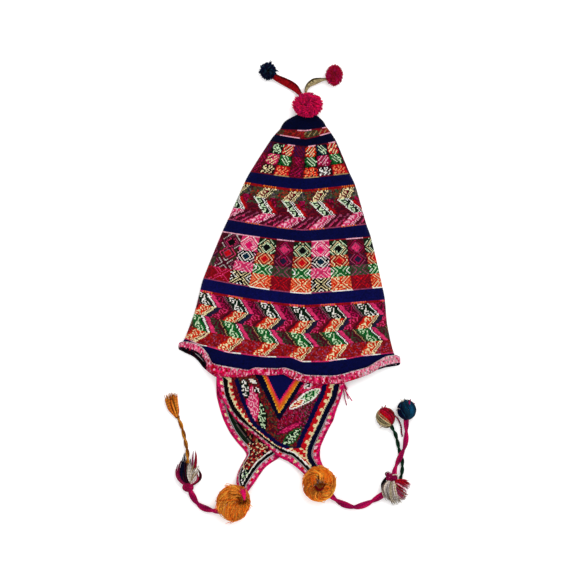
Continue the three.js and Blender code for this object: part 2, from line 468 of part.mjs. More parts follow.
function bandRings(stations, steps, loop, swell = 0) {
  const curve = (names) => new THREE.CatmullRomCurve3(
    stations.map((s) => new THREE.Vector3(s[names[0]], s[names[1]], s[names[2]])), loop, 'catmullrom', 0.4,
  );
  const attached = curve(['ax', 'ay', 'az']);
  const free = curve(['fx', 'fy', 'fz']);
  const rings = [];
  const count = loop ? steps : steps + 1;
  for (let i = 0; i < count; i++) {
    const t = i / steps;
    const a = attached.getPoint(t);
    const f = free.getPoint(t);
    const along = attached.getTangent(t).add(free.getTangent(t)).normalize();
    const across = f.clone().sub(a);
    const normal = along.clone().cross(across).normalize();
    const side = across.clone().normalize();
    const past = i === 0 ? -swell : i === steps ? 2 * swell : 0;
    rings.push(BAND_SECTION.map(({ across: share, up }) => {
      const point = a.clone()
        .addScaledVector(across, share)
        .addScaledVector(side, swell * Math.sign(share - 0.5))
        .addScaledVector(normal, up * (EDGING / 2 + swell))
        .addScaledVector(along, past);
      return point.setZ(Math.max(point.z, 0));
    }));
  }
  return rings;
}

function rimEdging() {
  const front = RIM_FRONT.map((s) => {
    const az = hemTop(s.ax) + RIM_LIFT;
    return { ...s, az, fz: az - s.drop };
  });
  const stations = [...front, ...RIM_SIDES_AND_BACK];
  return loft(bandRings(stations, Math.round(1.5 * stations.length), true), true);
}

const flapEdging = (stations, swell = 0) => loft(bandRings(stations, 20, false, swell));

// Ear flaps: a sheet between rows, with its first row along the hem

function flapRows(rows, hem, topZ) {
  const first = rows[0];
  const step = (first.rightX - first.leftX) / FLAP_STEPS;
  const grid = [Array.from({ length: FLAP_STEPS + 1 }, (_, k) => {
    const x = first.leftX + k * step;
    return new THREE.Vector3(x, lowestNear(hem, x, step) - GAP, topZ(x));
  })];
  for (const row of rows) {
    grid.push(Array.from({ length: FLAP_STEPS + 1 }, (_, k) => {
      const t = k / FLAP_STEPS;
      const bow = 4 * t * (1 - t);
      const z = lerp(row.leftZ, row.rightZ, t) + bow * (row.midZ - (row.leftZ + row.rightZ) / 2);
      return new THREE.Vector3(lerp(row.leftX, row.rightX, t), lerp(row.leftY, row.rightY, t), z);
    }));
  }
  return grid;
}

function sheet(grid, thickness, swell = 0) {
  const half = thickness / 2 + swell;
  const [before, end] = grid.slice(-2);
  const past = end.map((p, k) => p.clone().add(p.clone().sub(before[k]).setLength(2 * swell)));
  const rings = (swell ? [...grid, past] : grid).map((row) => {
    const above = row.map((p) => new THREE.Vector3(p.x, p.y, p.z + half));
    const below = row.map((p) => new THREE.Vector3(p.x, p.y, p.z - half)).reverse();
    for (const edge of [above[0], below[below.length - 1]]) edge.x -= swell;
    for (const edge of [above[above.length - 1], below[0]]) edge.x += swell;
    return [...above, ...below];
  });
  return loft(rings);
}

const frontFlapGrid = flapRows(FLAP_FRONT, HEM_FRONT, (x) => hemTop(x) - KNIT / 2 - HEM_STEP);
const backFlapGrid = flapRows(FLAP_BACK, HEM_BACK, () => EDGING + 2 * GAP + KNIT / 2);

// Cords and straps

// A smooth path through the points, run on past both ends by the swell of a cutter.
function pathOf(points, swell) {
  const path = points.map((p) => new THREE.Vector3(p.x, p.y, p.z));
  if (swell) {
    const [first, second] = path;
    const [before, last] = path.slice(-2);
    path.unshift(first.clone().add(first.clone().sub(second).setLength(2 * swell)));
    path.push(last.clone().add(last.clone().sub(before).setLength(2 * swell)));
  }
  return new THREE.CatmullRomCurve3(path);
}

function cord(points, width, swell = 0) {
  const sides = 8;
  const radius = width / 2 + swell;
  const shape = new THREE.Shape(Array.from({ length: sides }, (_, k) => {
    const angle = (2 * Math.PI * (k + 0.5)) / sides;
    return new THREE.Vector2(radius * Math.cos(angle), radius * Math.sin(angle));
  }));
  const steps = Math.round(points.length * 1.6);
  const extrudePath = pathOf(points, swell);
  return new THREE.ExtrudeGeometry(shape, { steps, extrudePath, bevelEnabled: false });
}

const STRAP_SECTION = [
  { across: 1, up: 0 }, { across: 0.6, up: 1 }, { across: -0.6, up: 1 },
  { across: -1, up: 0 }, { across: -0.6, up: -1 }, { across: 0.6, up: -1 },
];

function strap(points, swell = 0) {
  const path = pathOf(points, swell);
  const widths = points.map((p) => p.width);
  if (swell) widths.unshift(widths[0]);
  if (swell) widths.push(widths[widths.length - 1]);
  const steps = 12;
  const up = new THREE.Vector3(0, 0, 1);
  const rings = [];
  for (let i = 0; i <= steps; i++) {
    const at = (i / steps) * (widths.length - 1);
    const k = Math.min(widths.length - 2, Math.floor(at));
    const half = lerp(widths[k], widths[k + 1], at - k) / 2 + swell;
    const centre = path.getPoint(i / steps);
    const side = path.getTangent(i / steps).cross(up).normalize();
    rings.push(STRAP_SECTION.map(({ across, up: high }) => centre.clone()
      .addScaledVector(side, across * half)
      .addScaledVector(up, high * (STRAP_THICKNESS / 2 + swell))));
  }
  return loft(rings);
}

// Pompoms and tassels: a head with its locks standing out of it

function box(low, high) {
  const size = high.clone().sub(low);
  const geometry = new THREE.BoxGeometry(size.x, size.y, size.z);
  const middle = low.clone().add(high).multiplyScalar(0.5);
  geometry.translate(middle.x, middle.y, middle.z);
  return solidOf(geometry);
}

const FLOOR = box(new THREE.Vector3(-400, -400, -60), new THREE.Vector3(400, 500, 0));
const LOCK_SHARPNESS = 0.9; // how steeply a lock falls away to the gap beside it
const GOLDEN_ANGLE = Math.PI * (3 - Math.sqrt(5));

// Directions spread evenly over a ball.
function directions(count) {
  return Array.from({ length: count }, (_, i) => {
    const rise = 1 - (2 * (i + 0.5)) / count;
    const reach = Math.sqrt(1 - rise * rise);
    return new THREE.Vector3(reach * Math.cos(GOLDEN_ANGLE * i), reach * Math.sin(GOLDEN_ANGLE * i), rise);
  });
}

function pompom(facts, cutters) {
  const locks = directions(facts.locks);
  const sharpness = facts.locks * LOCK_SHARPNESS;
  const [halfX, halfY, halfZ] = facts.half;
  const ball = new THREE.IcosahedronGeometry(1, halfX > LARGE_POMPOM ? 4 : 3);
  const place = ball.attributes.position;
  const point = new THREE.Vector3();
  for (let i = 0; i < place.count; i++) {
    point.fromBufferAttribute(place, i).normalize();
    const nearest = Math.max(...locks.map((lock) => lock.dot(point)));
    const reach = 1 - facts.relief + facts.relief * Math.exp((nearest - 1) * sharpness);
    place.setXYZ(i, point.x * reach, point.y * reach, point.z * reach);
  }
  ball.scale(halfX, halfY, halfZ);
  ball.translate(facts.x, facts.y, halfZ - FLAT_FOOT);
  return cutBy(solidOf(ball), cutters);
}

function tassel(facts, cutters) {
  const root = new THREE.Vector3(facts.x, facts.y, 0);
  const along = new THREE.Vector3(facts.tipX - facts.x, facts.tipY - facts.y, 0);
  const length = along.length();
  along.normalize();
  const side = new THREE.Vector3(-along.y, along.x, 0);
  const sides = 2 * BRUSH_LOCKS;
  const rings = BRUSH.map((row) => {
    const radius = facts.half * row.wide;
    return Array.from({ length: sides }, (_, k) => {
      const angle = (2 * Math.PI * k) / sides;
      const flute = 1 + FLUTE * row.along * (k % 2 ? -1 : 1);
      const uneven = 1 - RAGGED * row.along ** 3 * (((k * 5) % 7) / 6);
      const point = root.clone()
        .addScaledVector(along, length * row.along * uneven)
        .addScaledVector(side, radius * flute * Math.cos(angle));
      const height = facts.half * BRUSH_HEIGHT * Math.max(row.wide, 0.7);
      return point.setZ(Math.max(0, height + radius * flute * BRUSH_HEIGHT * Math.sin(angle)));
    });
  });
  const knot = new THREE.SphereGeometry(1, 10, 7);
  const [knotX, knotY] = facts.knot;
  const knotZ = Math.min(knotX, knotY);
  knot.scale(knotX, knotY, knotZ);
  knot.translate(root.x, root.y, Math.max(knotZ - KNOT_PRESS, facts.half * 0.42));
  return cutBy(solidOf(loft(rings)).add(solidOf(knot)), cutters);
}

function cutBy(solid, cutters) {
  return largest([FLOOR, ...cutters].reduce((rest, cutter) => rest.subtract(cutter), solid));
}

// The main body of a solid, without any crumb that a cut left loose.
function largest(solid) {
  return solid.decompose().reduce((best, body) => (body.volume() > best.volume() ? body : best));
}

// What enters each pompom, ball or tassel, cut out of it with clearance.
function parting() {
  const cone = new THREE.ConeGeometry(PARTING.radius, PARTING.depth, 10);
  cone.rotateX(-Math.PI / 2);
  const top = 2 * POMPOMS.orange_pompom_right.half[2] - FLAT_FOOT;
  cone.translate(PARTING.x, PARTING.y, top - PARTING.depth / 2 + 1);
  return solidOf(cone);
}

// The crown's tip, swollen by the clearance.
function clearTip() {
  const rings = CROWN_ROWS.slice(0, 5).map((_, i) => crownRing(i, -GAP));
  rings.unshift(rings[0].map((p) => new THREE.Vector3(p.x, p.y + 2 * GAP, p.z)));
  return solidOf(loft(rings));
}

const clearOf = {
  sheet: (grid) => solidOf(sheet(grid, KNIT, GAP)),
  edging: (stations) => solidOf(flapEdging(stations, GAP)),
  cord: (points, width) => solidOf(cord(points, width, GAP)),
  strap: (points) => solidOf(strap(points, GAP)),
};

const CUTTERS = {
  apex_pompom: [clearTip(), clearOf.strap(RED_STRAP), clearOf.strap(CREAM_STRAP)],
  navy_pompom: [clearOf.strap(RED_STRAP)],
  crimson_pompom: [clearOf.strap(CREAM_STRAP)],
  orange_pompom_left: [
    clearOf.sheet(backFlapGrid), clearOf.edging(EDGE_BACK_LEFT), clearOf.edging(EDGE_BACK_RIGHT),
    clearOf.cord(TIE_LEFT, TIE_WIDTH),
  ],
  orange_pompom_right: [
    clearOf.sheet(frontFlapGrid), clearOf.edging(EDGE_FRONT_LEFT), clearOf.edging(EDGE_FRONT_RIGHT),
    clearOf.cord(TIE_RIGHT, TIE_WIDTH), parting(),
  ],
  red_white_ball: [
    clearOf.cord(GREEN_STRAND, GREEN_STRAND_WIDTH), clearOf.cord(THIN_STRAND, THIN_STRAND_WIDTH),
  ],
  teal_ball: [clearOf.cord(PINK_STRAND, PINK_STRAND_WIDTH)],
  tassel_left: [clearOf.cord(TIE_LEFT, TIE_WIDTH), clearOf.cord(BRAID, BRAID_WIDTH)],
  tassel_right: [
    clearOf.cord(TIE_RIGHT, TIE_WIDTH), clearOf.cord(PINK_STRAND, PINK_STRAND_WIDTH),
    clearOf.cord(GREEN_STRAND, GREEN_STRAND_WIDTH),
  ],
  end_tassel: [clearOf.cord(BRAID, BRAID_WIDTH)],
};

// The hat

const hat = new THREE.Group();

function add(name, geometry, colour) {
  const color = COLOURS[colour];
  const material = new THREE.MeshStandardMaterial({ color, roughness: 0.95, metalness: 0 });
  const mesh = new THREE.Mesh(geometry, material);
  mesh.name = name;
  hat.add(mesh);
}

add('crown', crown(), 'navy');
add('rim_edging', rimEdging(), 'edging');
add('ear_flap_front', sheet(frontFlapGrid, KNIT), 'flap');
add('ear_flap_back', sheet(backFlapGrid, KNIT), 'flap');
add('flap_edging_front_left', flapEdging(EDGE_FRONT_LEFT), 'edging');
add('flap_edging_front_right', flapEdging(EDGE_FRONT_RIGHT), 'edging');
add('flap_edging_back_left', flapEdging(EDGE_BACK_LEFT), 'edging');
add('flap_edging_back_right', flapEdging(EDGE_BACK_RIGHT), 'edging');
add('red_strap', strap(RED_STRAP), 'red');
add('cream_strap', strap(CREAM_STRAP), 'cream');
add('tie_left', cord(TIE_LEFT, TIE_WIDTH), 'magenta');
add('tie_right', cord(TIE_RIGHT, TIE_WIDTH), 'magenta');
add('orange_braid', cord(BRAID, BRAID_WIDTH), 'orange');
add('pink_strand', cord(PINK_STRAND, PINK_STRAND_WIDTH), 'magenta');
add('green_strand', cord(GREEN_STRAND, GREEN_STRAND_WIDTH), 'green');
add('thin_strand', cord(THIN_STRAND, THIN_STRAND_WIDTH), 'maroon');
for (const [name, facts] of Object.entries(POMPOMS)) {
  add(name, geometryOf(pompom(facts, CUTTERS[name])), facts.colour);
}
for (const [name, facts] of Object.entries(TASSELS)) {
  add(name, geometryOf(tassel(facts, CUTTERS[name])), facts.colour);
}

export default hat;
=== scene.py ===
"""A knitted ear-flap hat laid flat, seen from straight above.

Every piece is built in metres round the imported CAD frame. The knitting is a mesh of single
stitches: each face is one stitch in its own yarn colour, and the shader shapes its two legs.
"""
import math

import bpy
import numpy as np
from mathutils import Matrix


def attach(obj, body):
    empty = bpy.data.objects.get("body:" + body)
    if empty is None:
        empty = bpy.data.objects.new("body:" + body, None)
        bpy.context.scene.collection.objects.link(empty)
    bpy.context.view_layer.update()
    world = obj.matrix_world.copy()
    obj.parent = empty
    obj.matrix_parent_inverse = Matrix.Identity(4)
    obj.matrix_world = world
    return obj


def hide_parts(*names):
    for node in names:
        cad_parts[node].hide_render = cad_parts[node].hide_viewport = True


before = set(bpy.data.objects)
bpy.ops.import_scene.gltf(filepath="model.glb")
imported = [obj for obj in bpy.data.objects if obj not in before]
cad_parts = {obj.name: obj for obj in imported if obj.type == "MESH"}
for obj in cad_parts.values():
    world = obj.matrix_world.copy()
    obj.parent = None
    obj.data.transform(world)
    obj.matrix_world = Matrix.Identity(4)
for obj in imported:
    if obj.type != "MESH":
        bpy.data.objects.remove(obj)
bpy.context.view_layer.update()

# Camera. The photograph looks straight down at the hat from far away, so that there is almost no
# perspective: 754 mm of the surface fills the picture's width.
WIDTH_SEEN = 0.754
CAMERA_HEIGHT = 6.0
VIEW_X, VIEW_Y = 0.0026, 0.091
camera_data = bpy.data.cameras.new("camera")
camera_data.angle = 2 * math.atan(WIDTH_SEEN / 2 / CAMERA_HEIGHT)
camera = bpy.data.objects.new("camera", camera_data)
camera.location = (VIEW_X, VIEW_Y, CAMERA_HEIGHT)
bpy.context.scene.collection.objects.link(camera)
bpy.context.scene.camera = camera

# Crown. A tall cone knitted in the round from fine wool, plain navy rounds between five patterned
# bands. It lies in two layers with its folds at the sides, and its mouth is open at the hem.
MM = 0.001
CROWN_ROWS = MM * np.array([
    # where a round crosses the left fold, the middle and the right fold, and how high its upper
    # layer stands: left x, left y, middle x, middle y, right x, right y, puff
    (16, 321, 24.5, 323.5, 34, 321, 8.6),
    (-4, 310, 23.5, 308, 45.5, 310.5, 10.5),
    (-10.5, 300, 23.5, 298.5, 50, 303, 12),
    (-17, 293, 23.5, 286.5, 56, 295, 13),
    (-23.5, 284.5, 23.5, 277.5, 62.5, 284.5, 14),
    (-49, 244.5, 22, 235.5, 80.5, 242, 18),
    (-56, 231.5, 22, 221, 87, 228, 19),
    (-78, 182.5, 22, 168, 102, 176, 22),
    (-85, 167.5, 22, 154, 107.5, 160.5, 23),
    (-110, 106, 22, 86, 123, 94, 26),
    (-114, 91.5, 22, 71.5, 126, 78.5, 26.5),
    (-121.5, 62, 21, 36, 129, 46, 27),
    (-134.5, 27.5, 19.5, -2.5, 137.5, 9, 26.5),
    (-138.5, 22, 19.5, -20, 142.5, 4, 24),
])
LAST_BAND_FRONT = MM * np.array([
    (-134.5, 27.5), (-110, 18.5), (-73.5, 9), (-29, 4), (3, 3.5),
    (19.5, -2.3), (47, -2.3), (70, 0.7), (102, 5.6), (137.5, 9),
])
HEM_FRONT = MM * np.array([
    (-138.5, 22), (-134, 22.8), (-116, 20), (-105, 8), (-98, -4.5), (-84.5, -8.5), (-52, -14),
    (-41.5, -10.8), (-14, -12), (-5, -10.8), (8, -15), (22, -20), (47, -21.2), (66, -20.2),
    (84.5, -15.2), (105, -9.5), (116, -2.3), (127, 3.6), (139, 5.6), (142.5, 4),
])
HEM_BACK = MM * np.array([
    (-138.5, 22), (-131, 17.5), (-121, 12.4), (-113.5, 5.5), (-108, -1.5), (-101.5, -7.5),
    (-92, -13.5), (-60, -18.5), (0, -21.5), (50, -21.5), (92, -13), (104, -8), (117, -3.7),
    (127, -0.8), (137, 1), (142.5, 4),
])
DENTS = MM * np.array([
    # x, y, radius, depth
    (-62, 120, 34, 2.6), (74, 62, 30, 2.2), (-8, 44, 26, 1.8),
    (60, 176, 22, 1.6), (-20, 208, 18, 1.4), (-88, 40, 22, 1.8),
])
CREASE_WIDTH, CREASE_HEIGHT = 0.009, 0.0015
LEFT_BOW, RIGHT_BOW = 1.35, 1.15
PUFF_FULLNESS = 0.8
FULL_BULGE = 0.008
FOLD_RADIUS = 0.0042
KNIT = 0.0026
HEM_ROW = len(CROWN_ROWS) - 1
LAYER_SAMPLES, LAYER_POINTS = 400, 721


def eased(table, x):
    """The y of a table at x, eased between its rows."""
    i = np.clip(np.searchsorted(table[:, 0], x), 1, len(table) - 1)
    a, b = table[i - 1], table[i]
    t = np.clip((x - a[..., 0]) / (b[..., 0] - a[..., 0]), 0, 1)
    return a[..., 1] + (b[..., 1] - a[..., 1]) * (t * t * (3 - 2 * t) + t) / 2


def round_y(index, x, upper):
    """Where a knitted round runs in plan."""
    left_x, left_y, mid_x, mid_y, right_x, right_y, _ = CROWN_ROWS[index]
    if index == HEM_ROW:
        return eased(HEM_FRONT if upper else HEM_BACK, x)
    if index == HEM_ROW - 1 and upper:
        return eased(LAST_BAND_FRONT, x)
    to_left = np.clip((mid_x - x) / (mid_x - left_x), 0, 1) ** LEFT_BOW
    to_right = np.clip((x - mid_x) / (right_x - mid_x), 0, 1) ** RIGHT_BOW
    return mid_y + (left_y - mid_y) * to_left + (right_y - mid_y) * to_right


def round_z(index, x, y, upper, inset):
    """Height of the crown at a place in a round; inset is 0 outside and the wall inside."""
    left_x, _, mid_x, _, right_x, _, puff = CROWN_ROWS[index]
    outer = min(FOLD_RADIUS, puff / 2)
    inner = outer - inset
    near = np.maximum(0, np.minimum(x - left_x, right_x - x) - inset)
    rounding = np.sqrt(np.clip(1 - (1 - np.minimum(near / inner, 1)) ** 2, 0, 1))
    if not upper:
        return outer - inner * rounding
    across = np.clip((x - left_x) / (right_x - left_x), 0, 1)
    bulge = (puff - 2 * outer) * np.sin(np.pi * across) ** PUFF_FULLNESS
    share = np.minimum(1, bulge / FULL_BULGE)
    for dent_x, dent_y, radius, depth in DENTS:
        bulge = bulge - depth * share * np.exp(-((x - dent_x) ** 2 + (y - dent_y) ** 2) / radius**2)
    bulge = bulge + CREASE_HEIGHT * share * np.exp(-(((x - mid_x) / CREASE_WIDTH) ** 2))
    return outer + rounding * (inner + bulge)


def distances(line):
    """How far along a line each of its points lies."""
    return np.r_[0, np.cumsum(np.linalg.norm(np.diff(line, axis=0), axis=1))]


def resampled(line, along, at):
    """The points of a line at new distances."""
    return np.stack([np.interp(at, along, line[:, k]) for k in range(line.shape[1])], axis=1)


def round_line(index, inset):
    """One knitted round: the upper layer from left to right, then the lower one back."""
    left_x, right_x = CROWN_ROWS[index][0] + inset, CROWN_ROWS[index][4] - inset
    x = left_x + (right_x - left_x) * (0.5 - 0.5 * np.cos(np.linspace(0, np.pi, LAYER_SAMPLES)))
    halves = []
    for upper in (True, False):
        y = round_y(index, x, upper)
        line = np.stack([x, y, round_z(index, x, y, upper, inset)], axis=1)
        along = distances(line)
        halves.append(resampled(line, along, np.linspace(0, along[-1], LAYER_POINTS)))
    return np.concatenate([halves[0], halves[1][::-1][1:]])


def curved(t, start, end, start_slope, end_slope):
    """The place at share t of a smooth curve with given ends and slopes."""
    return ((2 * t**3 - 3 * t**2 + 1) * start + (t**3 - 2 * t**2 + t) * start_slope
            + (3 * t**2 - 2 * t**3) * end + (t**3 - t**2) * end_slope)


def along_rounds(rounds, knots, at, columns):
    """A ring of stitch corners at a distance from the tip, smooth between the given rounds."""
    i = int(np.clip(np.searchsorted(knots, at) - 1, 0, len(knots) - 2))
    pick = np.arange(columns) / columns * (rounds.shape[1] - 1)
    low = pick.astype(int)
    part = (pick - low)[:, None]
    nearest = np.clip([i - 1, i, i + 1, i + 2], 0, len(knots) - 1)
    near = [rounds[k, low] * (1 - part) + rounds[k, low + 1] * part for k in nearest]
    d = knots[nearest]
    step = d[2] - d[1]
    ring = curved((at - d[1]) / step, near[1], near[2], (near[2] - near[0]) / (d[2] - d[0]) * step,
                  (near[3] - near[1]) / (d[3] - d[1]) * step)
    ring[:, 2] = np.maximum(ring[:, 2], 0)
    return ring


def linear(code):
    """An sRGB hex colour as linear red, green and blue."""
    srgb = np.array([(code >> shift & 255) / 255 for shift in (16, 8, 0)])
    return np.where(srgb <= 0.04045, srgb / 12.92, ((srgb + 0.055) / 1.055) ** 2.4)


YARN = {name: linear(code) for name, code in {
    "night": 0x010424, "navy": 0x04073C, "ultra": 0x070948, "black": 0x060508, "white": 0xFFF6EC,
    "cream": 0xF2DCA8, "red": 0xC80A18, "orange_red": 0xD42A10, "pink": 0xDA3068, "hot": 0xE01060,
    "magenta": 0xA80848, "pale": 0xF6AABE, "mauve": 0x943C5C, "maroon": 0x48081C,
    "wine": 0x700A1C, "dark_red": 0x900810, "forest": 0x0A1E10, "green": 0x0E5E24,
    "sage": 0x36442E, "olive": 0x4A3E22, "orange": 0xE47018, "yellow": 0xEEB038, "grey": 0x6C5C5A,
    "slate": 0x221A38, "teal": 0x08283C, "purple": 0x330C44, "brown": 0x401E10, "salmon": 0xF68E5E,
    "mint": 0xCEEABE, "tan": 0xA48456, "ash": 0xC6BAB6, "brick": 0x96241A, "coral": 0xF04A38,
    "rose": 0xC80A46, "crimson": 0x9C0628, "rust": 0xDE5E0C, "amber": 0xF09030, "flax": 0xB4A276,
    "bone": 0xCDBFAE, "azure": 0x083E5C, "berry": 0x8E0644, "pine": 0x0A3420, "ochre": 0xB87420,
    "umber": 0x84460E, "scarlet": 0xAE0810, "blood": 0x5E0408, "blush": 0xE47C94,
}.items()}


STRAYS = 4096
STRAY_SHARE = 0.035
STRAYS_A_ROW = 331
DARKEST, BRIGHTEST = 0.4, 1.7


class Stitches:
    """Gathers the corners, faces, stitch coordinates and yarn colours of one knitted piece. A few
    stitches stray: they take the colour of the one beside them."""

    def __init__(self, seed, unevenness):
        self.points, self.faces, self.uvs, self.colours = [], [], [], []
        self.count = 0
        self.random = np.random.default_rng(seed)
        self.strays = self.random.choice(
            (-1, 0, 1), STRAYS, p=(STRAY_SHARE, 1 - 2 * STRAY_SHARE, STRAY_SHARE)).tolist()
        self.unevenness = unevenness

    def ring(self, points):
        """Adds a row of corners and says at which number it starts."""
        self.points.append(points)
        self.count += len(points)
        return self.count - len(points)

    def face(self, corners, uvs, colour):
        self.faces.append(corners)
        self.uvs.extend(uvs)
        self.colours.append(colour)

    def weave(self, a, b, columns_a, columns_b, row, paint):
        """A round of stitches from ring a to ring b, zipped where their counts differ."""
        if columns_a == columns_b:
            for k in range(columns_a):
                near = (k + 1) % columns_a
                stray = self.strays[(row * STRAYS_A_ROW + k) % STRAYS]
                self.face((a + k, b + k, b + near, a + near),
                          [(k, row), (k, row + 1), (k + 1, row + 1), (k + 1, row)],
                          paint(row, (k + stray) % columns_a))
            return
        i = j = 0
        while i < columns_a or j < columns_b:
            place_a, place_b = i / columns_a * columns_a, j / columns_b * columns_a
            stitch = min(columns_a - 1, int((place_a + place_b) / 2))
            colour = paint(row, stitch)
            if i < columns_a and (i + 1) * columns_b <= (j + 1) * columns_a:
                corners = (a + i, b + j % columns_b, a + (i + 1) % columns_a)
                uvs = [(place_a, row), (place_b, row + 1), (i + 1, row)]
                i += 1
            else:
                corners = (a + i % columns_a, b + j, b + (j + 1) % columns_b)
                uvs = [(place_a, row), (place_b, row + 1),
                       ((j + 1) / columns_b * columns_a, row + 1)]
                j += 1
            self.face(corners, uvs, colour)

    def cap(self, start, columns, colour, flip=1):
        """Closes a flattened ring with faces from its upper to its lower layer."""
        for k in range(columns // 2 - 1):
            corners = [start + i for i in (k, k + 1, columns - 2 - k, columns - 1 - k)]
            self.face(corners[::flip], [(k, 0), (k + 1, 0), (k + 1, 1), (k, 1)][::flip], colour(k))

    def made(self, name):
        """The piece as an object that rides on the hat, with its faces turned outwards."""
        points = np.concatenate(self.points)
        first = np.array([f[:3] for f in self.faces])
        a, b, c = (points[first[:, k]] for k in range(3))
        volume = np.einsum("ij,ij->i", a, np.cross(b, c)).sum()
        sizes = np.array([len(f) for f in self.faces])
        uvs = np.array(self.uvs, dtype=float)
        faces = self.faces
        if volume < 0:
            ends = np.cumsum(sizes)
            order = np.concatenate([np.arange(e - 1, e - n - 1, -1) for e, n in zip(ends, sizes)])
            uvs = uvs[order]
            faces = [f[::-1] for f in faces]
        shade = np.clip(1 + self.unevenness * self.random.standard_normal(len(faces)),
                        DARKEST, BRIGHTEST)
        colours = np.array(self.colours) * shade[:, None]
        return coloured_mesh(name, points, faces, uvs, np.repeat(colours, sizes, axis=0), knit_wool)


def coloured_mesh(name, points, faces, uvs, colours, material):
    """A mesh object with corner colours that rides on the hat."""
    mesh = bpy.data.meshes.new(name)
    mesh.from_pydata(points.tolist(), [], [tuple(int(i) for i in f) for f in faces])
    mesh.uv_layers.new(name="UVMap").data.foreach_set("uv", np.ravel(uvs))
    layer = mesh.color_attributes.new("yarn", "FLOAT_COLOR", "CORNER")
    rgba = np.concatenate([np.clip(colours, 0, 1), np.ones((len(colours), 1))], axis=1)
    layer.data.foreach_set("color", rgba.ravel())
    mesh.shade_smooth()
    mesh.materials.append(material)
    piece = bpy.data.objects.new(name, mesh)
    bpy.context.scene.collection.objects.link(piece)
    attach(piece, "root")
    return piece


def stand_for(piece, node_name):
    """The piece takes the place of a CAD node, whose part is hidden."""
    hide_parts(node_name)


def node(tree, kind, inputs=None, **settings):
    """A shader node with its settings and inputs."""
    made = tree.nodes.new("ShaderNode" + kind)
    for key, value in settings.items():
        setattr(made, key, value)
    for key, value in (inputs or {}).items():
        if isinstance(value, bpy.types.NodeSocket):
            tree.links.new(value, made.inputs[key])
        else:
            made.inputs[key].default_value = value
    return made


def maths(tree, operation, a, b=None):
    """The output of one Math node."""
    inputs = {0: a} if b is None else {0: a, 1: b}
    return node(tree, "Math", inputs, operation=operation).outputs[0]


def wool(name, relief, bump=0.0006, sheen=0.015, fuzz=0.18):
    """Wool in the mesh's yarn colours: relief(tree, u, v) gives its height from 0 to 1."""
    material = bpy.data.materials.new(name)
    material.use_nodes = True
    tree = material.node_tree
    surface = tree.nodes["Principled BSDF"]
    place = node(tree, "SeparateXYZ", {0: node(tree, "UVMap", uv_map="UVMap").outputs[0]})
    height = relief(tree, place.outputs[0], place.outputs[1])
    object_place = node(tree, "TexCoord").outputs["Object"]
    fibres = node(tree, "TexNoise", {"Vector": object_place, "Scale": 900.0, "Detail": 2.0})
    patches = node(tree, "TexNoise", {"Vector": object_place, "Scale": 45.0, "Detail": 3.0})
    # Painted shade: the yarn colour darkens where the relief is low, in the grooves between the
    # stitch legs and plies, and lightens a little on their tops as a painted highlight.
    groove_shade = node(tree, "MapRange", {"Value": height, "To Min": 0.5, "To Max": 1.08})
    wear = node(tree, "MapRange", {"Value": patches.outputs[0], "From Min": 0.3, "From Max": 0.7,
                                   "To Min": 0.9, "To Max": 1.1})
    lint = node(tree, "MapRange", {"Value": fibres.outputs[0], "From Min": 0.25,
                                   "From Max": 0.75, "To Min": 1 - fuzz, "To Max": 1 + fuzz})
    shade = maths(tree, "MULTIPLY", maths(tree, "MULTIPLY", groove_shade.outputs[0], wear.outputs[0]),
                  lint.outputs[0])
    yarn = node(tree, "VertexColor", layer_name="yarn")
    colour = node(tree, "VectorMath", {0: yarn.outputs[0], 1: shade}, operation="MULTIPLY")
    tree.links.new(colour.outputs[0], surface.inputs["Base Color"])
    raised = node(tree, "Math", {0: fibres.outputs[0], 1: 0.35, 2: height},
                  operation="MULTIPLY_ADD")
    relief_node = node(tree, "Bump", {"Height": raised.outputs[0], "Distance": bump,
                                      "Strength": 0.9})
    tree.links.new(relief_node.outputs[0], surface.inputs["Normal"])
    for key, value in (("Roughness", 0.92), ("Specular IOR Level", 0.015),
                       ("Sheen Weight", sheen), ("Sheen Roughness", 0.5)):
        surface.inputs[key].default_value = value
    return material


def stitch_relief(tree, u, v):
    """Two slanting legs that meet in the middle of each stitch."""
    across = maths(tree, "ABSOLUTE", maths(tree, "SUBTRACT", maths(tree, "FRACT", u), 0.5))
    leg = maths(tree, "SUBTRACT", 1.0, maths(
        tree, "POWER", maths(tree, "MULTIPLY", maths(
            tree, "ABSOLUTE", maths(tree, "SUBTRACT", across, 0.25)), 4.0), 2.0))
    along = maths(tree, "FRACT", maths(tree, "ADD", v, across))
    arch = maths(tree, "SQRT", maths(tree, "SINE", maths(tree, "MULTIPLY", along, math.pi)))
    return maths(tree, "MULTIPLY", leg, arch)


knit_wool = wool("knit_wool", stitch_relief)

HOOK = (
    # charts of the knitted motifs: # is the figure, x a shade beside it, . the ground
    ".####..",
    "#....#.",
    "#.##..#",
    "#..#..#",
    ".##..#.",
    "....#..",
    "..##...",
)
FLAME = (
    "x...#..x#.x",
    "..x#..x#..x",
    "x.#..x#..#.",
    ".#x.x#..#.x",
    "x..x#..#..x",
    "..##x.#.x..",
    ".#..x#..#.x",
    "x..x#.x#..x",
    "xxx..x#..xx",
)
WHORL = (
    "xx.##..x.##",
    "x.#..#..#.#",
    ".#.#.#.#..x",
    ".#..#.##.xx",
    "x.##.#..#.x",
    "xx..#..#.#.",
    "x..#.##..#x",
    "xx.#....#.x",
    "xxx.xxxx.xx",
)
RAYS = (
    "x.#..#.x.xx",
    "..x#.x#..xx",
    "x..x#.x#..x",
    "..#.x#.x#.x",
    "x.x#.x#.x#.",
    "xx.x#.x#.xx",
    "xx..x#.x#.x",
    "x.xx.x#.#.x",
    "xx.xx.x.xxx",
)
TWIGS = (
    "x..x..x.xxx",
    "x.#..#x#..x",
    ".#x.x#.#xx.",
    ".#.#.x#.x#.",
    "x.##.#..#.x",
    "xx.x#.#.x.x",
    ".##..#x.#..",
    ".#x.#.x#x.x",
    "xx.xx..x.xx",
)


